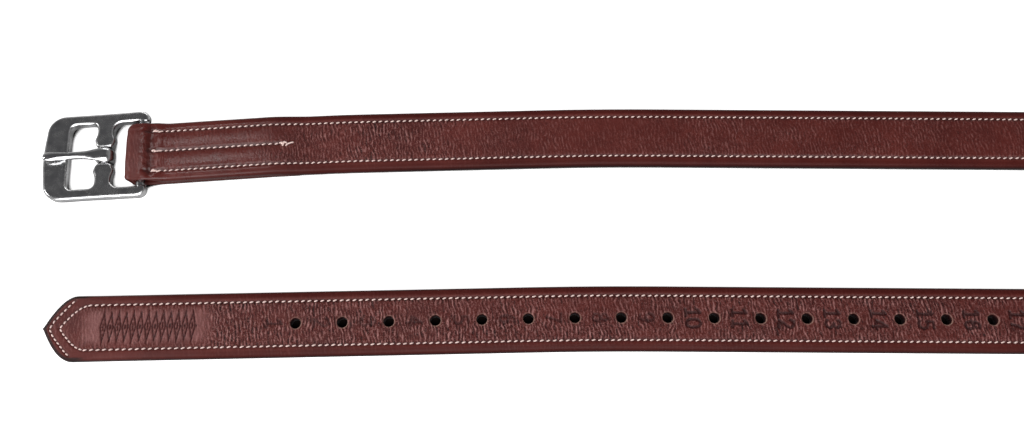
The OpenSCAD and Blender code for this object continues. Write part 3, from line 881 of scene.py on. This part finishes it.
def face_leather():
    look, nodes, shader = new_look("face_leather_look")
    ramp, times, plus, minus = nodes.ramp, nodes.times, nodes.plus, nodes.minus
    along, across, side, press, groove, gloss, paint, ripples, wrinkle = map(
        nodes.attribute,
        ("ls", "la", "side", "press", "groove", "gloss", "paint", "ripple", "wrinkle"))
    spot = nodes.vector(along, across, times(side, 0.6))
    # wrinkles run across the strap, so the pattern is drawn out across it
    lean = plus(along, times(across, 0.16))
    streak = nodes.noise(nodes.vector(lean, times(across, 0.30), 5.0),
                         scale=1.40, detail=2.0, rough=0.6, distortion=0.45)
    ridge = plus(times(ripples, 0.165), plus(times(streak, 0.80), 0.10))
    pebble = nodes.cells(spot, scale=1.15)
    pores = nodes.noise(spot, scale=2.4, detail=2.0, rough=0.6)
    cloud = nodes.noise(spot, scale=0.045, detail=3.0, rough=0.55)
    patch = nodes.noise(spot, scale=0.21, detail=3.0, rough=0.6)
    # zones: the tooled band near the tip, which gets a painted sheen, and the dark margins
    # between tip and buckle
    tip = times(ramp(along, over=(14.0, 19.0)), ramp(along, over=(66.0, 58.0)))
    tip = times(tip, ramp(nodes.math("ABSOLUTE", across), over=(7.2, 4.5)))
    ends = times(ramp(along, over=(24.0, 70.0)),
                 ramp(along, over=(S_BAR - 20.0, S_BAR - 70.0)))
    rim = times(ramp(nodes.math("ABSOLUTE", across), over=(9.5, 10.6)), ends)
    underside_shade = times(ramp(side, over=(0.86, 0.30), to=(0.0, 0.90)),
                  ramp(along, over=(S_BAR - 110.0, S_BAR - 80.0), to=(1.0, 0.30)))
    # colours for the painted shade and the painted highlight on the wrinkles and the grain
    painted_shade, pale_painted_highlight = srgb(36, 9, 8), srgb(172, 122, 118)
    colour = nodes.mix(ramp(cloud, over=(0.34, 0.68)), srgb(74, 25, 21), srgb(90, 35, 30))
    colour = nodes.coats(
        colour,
        (ramp(patch, over=(0.45, 0.78), to=(0.0, 0.40)), srgb(98, 39, 32)),
        # painted highlight on the wrinkles' crests, painted shade in their folds
        (times(ramp(ridge, over=(0.54, 0.76), to=(0.0, 0.80)), wrinkle), pale_painted_highlight),
        (times(ramp(ridge, over=(0.49, 0.30), to=(0.0, 0.95)), wrinkle), painted_shade),
        # painted glints and painted shade on the grain's pores
        (times(ramp(pores, over=(0.55, 0.70), to=(0.0, 0.42)), wrinkle), pale_painted_highlight),
        (times(ramp(pores, over=(0.45, 0.31), to=(0.0, 0.50)), plus(0.12, wrinkle)), painted_shade),
        # painted sheen over the tooled band near the tip
        (times(tip, 0.40), srgb(150, 102, 99)),
        (times(rim, 0.50), srgb(58, 18, 16)),
        # pressed numbers and tooling are burnished darker; painted shade darkens the stitch
        # grooves, the dip behind the end bar and the fold's round
        (ramp(press, over=(0.12, 0.90), to=(0.0, 0.80)), srgb(40, 12, 13)),
        (ramp(groove, over=(0.10, 1.0), to=(0.0, 0.62)), srgb(44, 18, 17)),
        # painted shade makes the holes' walls darkest; their cut lips are pale, with a painted
        # highlight on one side
        (ramp(groove, over=(1.2, 2.0), to=(0.0, 0.94)), srgb(20, 9, 6)),
        (ramp(groove, over=(-0.2, -1.0), to=(0.0, 0.75)), srgb(150, 118, 106)),
        # painted shade darkens the rolled edges towards the underside; the cut point is painted
        (underside_shade, srgb(30, 11, 12)),
        (times(paint, 0.88), srgb(26, 14, 14)))
    rough = ramp(patch, over=(0.3, 0.75), to=(0.46, 0.54))
    rough = minus(rough, times(gloss, 0.25))
    rough = minus(rough, ramp(press, over=(0.2, 1.0), to=(0.0, 0.12)))
    rough = minus(rough, times(paint, 0.12))
    shine = ramp(gloss, over=(0.0, 1.0), to=(0.22, 0.38))
    normal = nodes.bump(times(streak, wrinkle), strength=1.0, distance=0.0006)
    normal = nodes.bump(times(minus(1.0, pebble), plus(0.12, wrinkle)),
                        strength=0.7, distance=0.00016, normal=normal)
    normal = nodes.bump(times(pores, plus(0.15, wrinkle)),
                        strength=0.8, distance=0.00022, normal=normal)
    nodes.fill(shader, {
        "Base Color": colour, "Roughness": rough, "Normal": normal,
        "Specular IOR Level": times(shine, minus(1.0, times(rim, 0.62)))})
    return look


def back_leather():
    look, nodes, shader = new_look("back_leather_look")
    ramp = nodes.ramp
    spot = nodes.vector(nodes.attribute("ls"), nodes.attribute("la"), 0.0)
    groove = nodes.attribute("groove")
    cloud = nodes.noise(spot, scale=0.06, detail=3.0, rough=0.6)
    fibre = nodes.noise(spot, scale=1.6, detail=4.0, rough=0.7, distortion=0.6)
    pores = nodes.cells(spot, scale=1.9)
    colour = nodes.mix(ramp(cloud, over=(0.3, 0.7)), srgb(74, 38, 33), srgb(92, 50, 43))
    colour = nodes.coats(
        colour,
        (ramp(fibre, over=(0.5, 0.75), to=(0.0, 0.5)), srgb(112, 70, 60)),
        # painted shade darkens the holes' walls
        (ramp(groove, over=(1.2, 2.0), to=(0.0, 0.92)), srgb(22, 10, 7)))
    normal = nodes.bump(fibre, strength=0.5, distance=0.00012)
    nodes.fill(shader, {
        "Base Color": colour,
        "Roughness": ramp(fibre, over=(0.3, 0.7), to=(0.55, 0.72)),
        "Specular IOR Level": 0.4,
        "Normal": nodes.bump(pores, strength=0.3, distance=0.00008, normal=normal)})
    return look


def thread():
    look, nodes, shader = new_look("thread_look")
    along, across = nodes.attribute("ls"), nodes.attribute("la")
    twist = nodes.vector(nodes.plus(along, nodes.times(across, 2.0)), across, 0.0)
    ply = nodes.noise(twist, scale=4.5, detail=2.0, rough=0.6)
    wear = nodes.noise(nodes.vector(along, across, 0.0), scale=0.35, detail=2.0, rough=0.5)
    colour = nodes.mix(nodes.ramp(ply, over=(0.35, 0.65)),
                       srgb(224, 188, 180), srgb(247, 226, 219))
    worn = nodes.ramp(wear, over=(0.5, 0.8), to=(0.0, 0.4))
    nodes.fill(shader, {
        "Base Color": nodes.mix(worn, colour, srgb(206, 168, 152)), "Roughness": 0.55,
        "Normal": nodes.bump(ply, strength=0.6, distance=0.00006)})
    return look


def steel(name, tone, rough, lines):
    """Steel of a given brightness and roughness range, with fine drawn lines."""
    look, nodes, shader = new_look(name)
    ramp = nodes.ramp
    position = nodes.add("ShaderNodeTexCoord").outputs["Object"]
    axes = nodes.add("ShaderNodeSeparateXYZ", position).outputs

    def scaled(*scales):
        return nodes.vector(*(nodes.times(axis, scale) for axis, scale in zip(axes, scales)))

    def grey(*channels):
        return tuple(channel * tone for channel in channels) + (1.0,)

    in_mm = scaled(1000.0, 1000.0, 1000.0)
    cloud = nodes.noise(in_mm, scale=0.22, detail=3.0, rough=0.6)
    speck = nodes.noise(in_mm, scale=3.2, detail=3.0, rough=0.7)
    brush = nodes.noise(scaled(350.0, 2600.0, 1200.0), scale=1.0, detail=2.0, rough=0.6)
    colour = nodes.mix(ramp(cloud, over=(0.28, 0.72), to=(0.1, 0.9)),
                       grey(0.50, 0.50, 0.515), grey(0.74, 0.735, 0.73))
    specked = ramp(speck, over=(0.66, 0.85), to=(0.0, 0.18))
    normal = nodes.bump(brush, strength=lines, distance=0.00003)
    nodes.fill(shader, {
        "Base Color": nodes.mix(specked, colour, grey(0.33, 0.33, 0.34)),
        "Metallic": 1.0,
        "Roughness": nodes.plus(ramp(cloud, over=(0.25, 0.75), to=rough),
                                ramp(speck, over=(0.4, 0.8), to=(0.0, 0.05))),
        "Normal": nodes.bump(speck, strength=0.12, distance=0.00003, normal=normal)})
    return look


LEATHER = face_leather()
BACKING = back_leather()
THREAD = thread()
STEEL = steel("cast_steel_look", tone=0.90, rough=(0.20, 0.28), lines=0.30)
STEEL_BRIGHT = steel("polished_steel_look", tone=0.98, rough=(0.12, 0.22), lines=0.10)


# ---------------------------------------------------------------------------
# The strap's pieces.  Each crosses one flex line.
# ---------------------------------------------------------------------------
def line_point(along):
    x, y, z = sample(LINE, np.array([float(along)]))[0]
    return (x / 1000, y / 1000, z / 1000)


def loop_point(offset):
    """A point across the loop's mouth, offset from the tip run towards the buckle run."""
    angle = math.radians(YAW_HOLES)
    x, y = HOLE[:2] + np.array([-math.sin(angle), math.cos(angle)]) * offset
    return (x / 1000, y / 1000, 0.0127)


# Name, ends of the bend, stems of the replaced nodes, further replaced stitching
PIECES = [
    ("strap_tip", line_point(S_TIP - 24), line_point(S_TIP + 2), ["tip"],
     ["tip_point_stitching"]),
    ("strap_holes", line_point(S_LOOP_IN - 26), line_point(S_LOOP_IN + 2), ["holes"], []),
    ("strap_loop", loop_point(GAP / 2 - 17), loop_point(GAP / 2 + 17), ["loop_a", "loop_b"], []),
    ("strap_far", line_point(S_LOOP_OUT - 2), line_point(S_LOOP_OUT + 26), ["far"], []),
    ("strap_mid", line_point(S_MID - 2), line_point(S_MID + 24), ["mid"], []),
    ("strap_buckle_end", line_point(S_END - 2), line_point(S_END + 20), ["end"],
     ["end_centre_stitching"]),
]


def build_pieces():
    borders = [0.0] + CUTS + [S_LAST]
    for i, (name, start, end, stems, more) in enumerate(PIECES):
        low, high = borders[i:i + 2]
        leather_nodes = [f"{stem}_{layer}" for stem in stems
                         for layer in ("face_leather", "back_leather", "nylon_core")]
        thread_nodes = [f"{stem}_stitching" for stem in stems] + more
        strap = build_strap(name, low, high)
        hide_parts(*leather_nodes)
        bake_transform(strap)
        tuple(start)
        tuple(end)
        stitches = build_stitches(name + "_stitches",
                                  [item for item in STITCHES if low <= item[0] < high])
        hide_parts(*thread_nodes)
        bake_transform(stitches)
        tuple(start)
        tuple(end)


lay_stitches()
build_pieces()

# ---------------------------------------------------------------------------
# Buckle.  Drawn flat about the end bar: x towards the strap, y across, z up.
# ---------------------------------------------------------------------------
BUCKLE_PLACE = (Matrix.Translation(Vector(BAR) / 1000)
                @ Matrix.Rotation(math.radians(YAW_END), 4, "Z"))
FRAME_THICK = 4.2
FRAME_BEVEL = 1.2
BEVEL_STEPS = 6
FRONT_X = -39.2               # outer edge of the front bar
FRONT_BOW = 0.9               # how far the front edge bows
FRONT_BAR = 9.9               # front bar's depth
SIDE_Y = 18.15                # outer edge of the side bars
WINDOW_Y = 13.85              # inner edge of the side bars
TONGUE_X = -flat(BAR, TONGUE)
CORNER, SHOULDER = 7.0, 1.7   # radii of the front corners and the neck's shoulders
SHOULDER_Y = 4.95
EYE_WIDE, EYE_INNER, EYE_OUTER, EYE_ROUND = 6.0, 2.05, 3.84, 1.68
# The tongue's prong before its shift: x, z, half width, half height
PRONG = np.array([
    (-15.6, 2.75, 2.30, 0.75), (-17.4, 2.95, 2.72, 0.95), (-19.4, 2.85, 2.62, 1.15),
    (-21.4, 2.65, 2.25, 1.38), (-23.6, 2.62, 1.78, 1.50), (-27.0, 2.80, 1.52, 1.50),
    (-31.0, 3.10, 1.50, 1.42), (-35.0, 3.36, 1.74, 1.38), (-37.6, 3.47, 1.92, 1.30),
    (-39.4, 3.48, 1.86, 1.18), (-40.3, 3.45, 1.48, 0.96), (-40.75, 3.42, 0.82, 0.55)])
PRONG_SHIFT = 41.6 + FRONT_X


def arc(x, y, radius, start, end, count):
    return [(x + radius * math.cos(angle), y + radius * math.sin(angle))
            for angle in np.radians(np.linspace(start, end, count))]


def centre_half(y):
    """Half width of the centre bar at y across."""
    half = 3.15 + 0.95 * math.exp(-((y - 6.6) / 1.7) ** 2)
    return half + 2.4 * max(0.0, (y - 10.8) / 2.9) ** 2.0


def half_outline():
    """The +y half of the frame: outer edge to the end bar, then back along the windows."""
    points = []
    for part in np.linspace(0, 1, 10)[:-1]:
        y = 10.2 * part
        points.append((FRONT_X + FRONT_BOW * (y / 11.0) ** 2, y))
    points += arc(FRONT_X + FRONT_BOW + 6.9, SIDE_Y - CORNER, CORNER, 178, 92, 16)
    # outer edge of the side bar, to the end knuckle
    for x in np.linspace(-30.6, -2.2, 16):
        points.append((x, SIDE_Y - 0.10 * math.sin((x + 30.6) / 28.4 * math.pi)))
    points += arc(-0.7, SIDE_Y - 3.0, 3.0, 88, 4, 10)
    points += arc(0.7, SIDE_Y - 3.35, 1.65, -2, -88, 7)
    # the window by the end bar
    points += [(x, WINDOW_Y) for x in np.linspace(-1.2, -8.4, 8)]
    for y in np.linspace(WINDOW_Y - 0.15, 5.1, 24):
        points.append((TONGUE_X + centre_half(y), y))
    # the neck's shoulders
    half = centre_half(4.9)
    points += arc(TONGUE_X + half - SHOULDER, SHOULDER_Y, SHOULDER, -2, -88, 7)
    points += arc(TONGUE_X - half + SHOULDER, SHOULDER_Y, SHOULDER, -92, -178, 7)
    # the front window
    for y in np.linspace(5.1, WINDOW_Y - 2.3, 18):
        points.append((TONGUE_X - centre_half(min(y, 10.4)), y))
    points += arc(TONGUE_X - 3.2 - 2.2, WINDOW_Y - 2.2, 2.2, 2, 90, 9)
    points += arc(FRONT_X + FRONT_BAR + 2.6, WINDOW_Y - 2.6, 2.6, 92, 178, 10)
    points += [(FRONT_X + FRONT_BAR, y) for y in np.linspace(WINDOW_Y - 3.0, 0.0, 12)]
    return np.array(points, float)


def frame_outline():
    """The whole outline, evenly spaced and softened, anticlockwise."""
    upper = half_outline()
    # a little wider at the end bar than at the front
    upper[:, 1] *= 1 + (upper[:, 0] - FRONT_X) * 0.00045
    lower = upper.copy()
    lower[:, 1] *= -1
    ring = np.vstack([upper, lower[::-1]])
    apart = np.linalg.norm(np.diff(ring, axis=0), axis=1) > 1e-6
    ring = ring[np.concatenate([[True], apart])]
    closed = np.vstack([ring, ring[:1]])
    length = arc_length(closed)
    places = np.linspace(0, length[-1], int(length[-1] / 0.42) + 1)[:-1]
    even = np.stack([np.interp(places, length, column) for column in closed.T], 1)
    return soften(even, 3)[::-1]


def skin(rings, size, capped=True):
    """Faces over rings of points: capped at both ends, or closed from last to first."""
    faces = []
    for ring in range(rings - 1 if capped else rings):
        here, there = ring * size, (ring + 1) % rings * size
        for i in range(size):
            j = (i + 1) % size
            faces.append((here + i, here + j, there + j, there + i))
    if capped:
        faces.append(tuple(range(size))[::-1])
        faces.append(tuple((rings - 1) * size + i for i in range(size)))
    return faces


def plate(outline):
    """The frame's flat plate with rounded edges."""
    tangent = unit(np.roll(outline, -1, 0) - np.roll(outline, 1, 0))
    inward = np.stack([-tangent[:, 1], tangent[:, 0]], 1)
    half = FRAME_THICK / 2
    levels = []                             # inset, height
    for i in range(BEVEL_STEPS + 1):
        angle = math.pi / 2 * i / BEVEL_STEPS
        levels.append((FRAME_BEVEL * (1 - math.cos(angle)),
                       half - FRAME_BEVEL + FRAME_BEVEL * math.sin(angle)))
    levels.append((FRAME_BEVEL + 0.13, half))
    levels = [(inset, -z) for inset, z in reversed(levels)] + levels
    points = []
    for inset, z in levels:
        # deep insets are softened so that the rings don't cross in tight places
        ring = soften(outline + inward * inset, 2 if inset > 0.5 else 0)
        points += [(x, y, z) for x, y in ring]
    return points, skin(len(levels), len(outline))


def rod(start, end, radius, x=0.0, sides=36):
    """A round bar along y with softly rounded ends."""
    places = [start, start + 0.15, start + 0.5, *np.linspace(start + 0.5, end - 0.5, 8)[1:-1],
              end - 0.5, end - 0.15, end]
    radii = [radius * 0.80, radius * 0.95] + [radius] * 8 + [radius * 0.95, radius * 0.80]
    points = []
    for y, ring_radius in zip(places, radii):
        for i in range(sides):
            angle = 2 * math.pi * i / sides
            points.append((x + ring_radius * math.cos(angle), y, ring_radius * math.sin(angle)))
    return points, skin(len(places), sides)


def prong(sides=28):
    """The tongue's prong, lofted along x through rounded sections."""
    xs = np.concatenate([np.linspace(-15.6, -39.4, 43), np.linspace(-39.7, -40.75, 7)])
    xs += PRONG_SHIFT
    table = PRONG[::-1].copy()
    table[:, 0] += PRONG_SHIFT

    def eased(column):
        values = np.interp(xs, table[:, 0], table[:, column])
        for _ in range(4):
            values[1:-6] = (values[:-7] + 2 * values[1:-6] + values[2:-5]) / 4
        return values

    points = []
    for x, z, wide, tall in zip(xs, eased(1), eased(2), eased(3)):
        for i in range(sides):
            angle = 2 * math.pi * i / sides
            cosine, sine = math.cos(angle), math.sin(angle)
            points.append((x, wide * math.copysign(abs(cosine) ** 0.85, cosine),
                           z + tall * math.copysign(abs(sine) ** 0.9, sine)))
    return points, skin(len(xs), sides)


def eye(sides=56):
    """The tongue's eye: a band round the neck with rounded edges."""
    profile = []                            # y, radius
    for angle in np.linspace(0, 90, 9):
        sine, cosine = math.sin(math.radians(angle)), math.cos(math.radians(angle))
        profile.append((EYE_WIDE / 2 - 1.25 * EYE_ROUND + 1.25 * EYE_ROUND * sine,
                        EYE_OUTER - EYE_ROUND + EYE_ROUND * cosine))
    profile += [(EYE_WIDE / 2, EYE_INNER + 0.2), (EYE_WIDE / 2 - 0.2, EYE_INNER)]
    profile += [(-y, radius) for y, radius in reversed(profile)]
    points = []
    for i in range(sides):
        angle = 2 * math.pi * i / sides
        for y, radius in profile:
            points.append((TONGUE_X + radius * math.cos(angle), y, radius * math.sin(angle)))
    return points, skin(sides, len(profile), capped=False)


def mesh_with_modifiers(ob):
    mesh = bpy.data.meshes.new_from_object(
        ob.evaluated_get(bpy.context.evaluated_depsgraph_get()))
    ob.modifiers.clear()
    ob.data = mesh
    mesh.materials.clear()
    return mesh


def mount(ob, material, body, *replaced):
    """Gives a buckle part its steel, moves it to the end bar and ties it to its body."""
    ob.data.materials.append(material)
    ob.data.transform(BUCKLE_PLACE)
    ob.data.update()
    if replaced:
        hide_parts(*replaced)
    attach(ob, body)


def build_frame():
    ob = mesh_object("buckle_frame_casting", *plate(frame_outline()), sharp=40)
    # the seat that the tongue's end rests in
    seat = mesh_object("seat_cutter", *rod(0, 16, 1.62, sides=24))
    seat.data.transform(Matrix.Translation(Vector((FRONT_X - 3, 0, 3.45)) / 1000)
                        @ Matrix.Rotation(math.radians(-90), 4, "Z"))
    cut = ob.modifiers.new("seat", "BOOLEAN")
    cut.operation = "DIFFERENCE"
    cut.object = seat
    cut.solver = "EXACT"
    mesh = mesh_with_modifiers(ob)
    tidy = bmesh.new()
    tidy.from_mesh(mesh)
    bmesh.ops.triangulate(tidy, faces=[face for face in tidy.faces if len(face.verts) > 4])
    bmesh.ops.remove_doubles(tidy, verts=tidy.verts, dist=4e-6)
    bmesh.ops.dissolve_degenerate(tidy, edges=tidy.edges, dist=4e-6)
    tidy.to_mesh(mesh)
    tidy.free()
    mesh.set_sharp_from_angle(angle=math.radians(38))
    bpy.data.objects.remove(seat)
    mount(ob, STEEL, "buckle_frame", "buckle_frame")


def build_bars():
    end_bar = mesh_object("buckle_end_bar", *rod(-15.6, 15.6, 1.97), sharp=60)
    mount(end_bar, STEEL_BRIGHT, "buckle_frame")
    neck = mesh_object("buckle_neck", *rod(-4.6, 4.6, 1.88, x=TONGUE_X), sharp=60)
    mount(neck, STEEL_BRIGHT, "buckle_frame")


def build_tongue():
    parts = [mesh_object("prong", *prong()), mesh_object("eye", *eye())]
    both = bmesh.new()
    for part in parts:
        both.from_mesh(part.data)
    mesh = bpy.data.meshes.new("buckle_tongue_forging")
    both.to_mesh(mesh)
    both.free()
    for part in parts:
        bpy.data.objects.remove(part)
    ob = bpy.data.objects.new("buckle_tongue_forging", mesh)
    bpy.context.scene.collection.objects.link(ob)
    join = ob.modifiers.new("join", "REMESH")
    join.mode = "VOXEL"
    join.voxel_size = 0.00017 if FINE else 0.0003
    join.use_smooth_shade = True
    soft = ob.modifiers.new("soft", "SMOOTH")
    soft.factor = 0.5
    soft.iterations = 6
    joined = mesh_with_modifiers(ob)
    joined.polygons.foreach_set("use_smooth", np.ones(len(joined.polygons), bool))
    mount(ob, STEEL_BRIGHT, "buckle_tongue", "buckle_tongue")


build_frame()
build_bars()
build_tongue()


# ---------------------------------------------------------------------------
# Stage: pale floor, soft sky and lights, and a camera looking down at both ends
# ---------------------------------------------------------------------------
def grey(value, blue=None):
    return (value, value, value if blue is None else blue, 1)


def floor_look():
    """White to the camera, with painted contact shadow where it is closed in, and dimmer in the
    light that it returns.
    """
    look, nodes, shader = new_look("studio_floor_look")
    occlusion = nodes.add("ShaderNodeAmbientOcclusion", samples=32)
    occlusion.inputs["Distance"].default_value = 0.006
    openness = occlusion.outputs["AO"]
    clear = nodes.ramp(openness, over=(0.32, 0.46))
    rays = nodes.add("ShaderNodeLightPath").outputs
    camera_ray = rays["Is Camera Ray"]
    # reflections see the floor dimmer where it is closed in, a painted shade
    mirrored = nodes.times(rays["Is Glossy Ray"], nodes.ramp(openness, over=(0.55, 0.92)))
    unseen = nodes.mix(mirrored, grey(0.30), grey(0.95))
    # painted contact shadow: near black and without glow where the floor is closed in
    seen = nodes.mix(clear, (0.012, 0.008, 0.007, 1), grey(0.90))
    nodes.fill(shader, {
        "Roughness": 0.95, "Specular IOR Level": 0.05,
        "Base Color": nodes.mix(camera_ray, unseen, seen),
        "Emission Color": (1, 1, 1, 1),
        "Emission Strength": nodes.times(nodes.times(camera_ray, clear), 0.95)})
    return look


def build_floor():
    bpy.ops.mesh.primitive_plane_add(size=8, location=(0.3, 0, -0.0001))
    floor = bpy.context.active_object
    floor.name = "studio_floor"
    floor.data.materials.append(floor_look())


def build_world():
    """A grey sky, paler low down, that the camera sees as white."""
    world = bpy.data.worlds.new("studio_world")
    bpy.context.scene.world = world
    world.use_nodes = True
    nodes = Nodes(world.node_tree)
    direction = nodes.add("ShaderNodeTexCoord").outputs["Generated"]
    height = nodes.add("ShaderNodeSeparateXYZ", direction).outputs["Z"]
    shades = nodes.add("ShaderNodeValToRGB", height)
    elements = shades.color_ramp.elements
    elements[0].color = grey(0.55)
    elements[1].color = grey(0.13, blue=0.135)
    for position, colour in ((0.55, grey(0.42)), (0.72, grey(0.15, blue=0.155))):
        elements.new(position).color = colour
    sky = nodes.add("ShaderNodeBackground", shades.outputs[0])
    sky.inputs["Strength"].default_value = 0.62
    backdrop = nodes.add("ShaderNodeBackground", grey(1.0))
    camera_ray = nodes.add("ShaderNodeLightPath").outputs["Is Camera Ray"]
    mixed = nodes.add("ShaderNodeMixShader", camera_ray, sky.outputs[0], backdrop.outputs[0])
    nodes.add("ShaderNodeOutputWorld", mixed.outputs[0])


# Name, location, aim, width, height (m), watts, the parts lit (None for everything)
LIGHTS = [
    ("key_soft", (0.20, -0.75, 1.05), (0.25, 0.04, 0), 1.3, 0.8, 15, None),
    ("left_soft", (-0.95, 0.02, 0.50), (0.1, 0.04, 0), 0.6, 0.5, 5.5, "leather_only"),
    ("lobe_soft", (-0.27, 0.60, 1.20), (0.09, 0.07, 0), 0.17, 0.17, 1.4, "leather_only"),
    ("tip_soft", (-0.45, 0.26, 1.20), (0.04, 0.0, 0), 0.30, 0.26, 2.6, "leather_only"),
    ("bevel_soft", (-0.10, -1.20, 0.52), (0.02, 0.07, 0), 1.5, 0.6, 22, "steel_only"),
    ("tongue_soft", (-0.60, 0.06, 0.40), (0.02, 0.07, 0), 0.12, 0.24, 0.9, "steel_only"),
    ("rim_soft", (0.10, 1.20, 0.40), (0.02, 0.07, 0), 1.0, 0.2, 3, "steel_only"),
]


def build_lights():
    groups = {}
    for group, prefix in (("leather_only", "strap_"), ("steel_only", "buckle_")):
        groups[group] = bpy.data.collections.new(group)
        for ob in bpy.context.scene.objects:
            if ob.type == "MESH" and ob.name.startswith(prefix):
                groups[group].objects.link(ob)
    for name, location, aim, width, height, watts, group in LIGHTS:
        light = bpy.data.lights.new(name, "AREA")
        light.shape = "RECTANGLE"
        light.size = width
        light.size_y = height
        light.energy = watts
        ob = bpy.data.objects.new(name, light)
        bpy.context.scene.collection.objects.link(ob)
        ob.location = location
        toward = Vector(aim) - Vector(location)
        ob.rotation_euler = toward.to_track_quat("-Z", "Y").to_euler()
        if group:
            ob.light_linking.receiver_collection = groups[group]


def build_camera():
    """Looks down at the aim point, leaning back from the vertical by the tilt."""
    tilt, turn, lean = (math.radians(angle) for angle in (18.524, -1.174, 0.173))
    distance = 0.35923
    aim = Vector((0.17804, 0.03989, 0.0))
    data = bpy.data.cameras.new("photo_camera")
    data.sensor_width = 36.0
    data.lens = 31.640625
    data.clip_start = 0.01
    data.clip_end = 20
    camera = bpy.data.objects.new("photo_camera", data)
    bpy.context.scene.collection.objects.link(camera)
    table_up = Vector((-math.sin(turn), math.cos(turn), 0))
    right = Vector((math.cos(turn), math.sin(turn), 0))
    look = -(Vector((0, 0, 1)) * math.cos(tilt) - table_up * math.sin(tilt))
    up = right.cross(look)
    location = aim - look * distance
    # the lean turns the view about the camera's own up direction
    right, look = (right * math.cos(lean) - look * math.sin(lean),
                   look * math.cos(lean) + right * math.sin(lean))
    camera.matrix_world = Matrix((right, up, -look, location)).transposed().to_4x4() \
        if False else Matrix([(right[i], up[i], -look[i], location[i]) for i in range(3)]
                             + [(0, 0, 0, 1)])
    bpy.context.scene.camera = camera


build_floor()
build_world()
build_lights()
build_camera()
bpy.context.scene.view_settings.view_transform = "Standard"
bpy.context.scene.view_settings.look = "None"
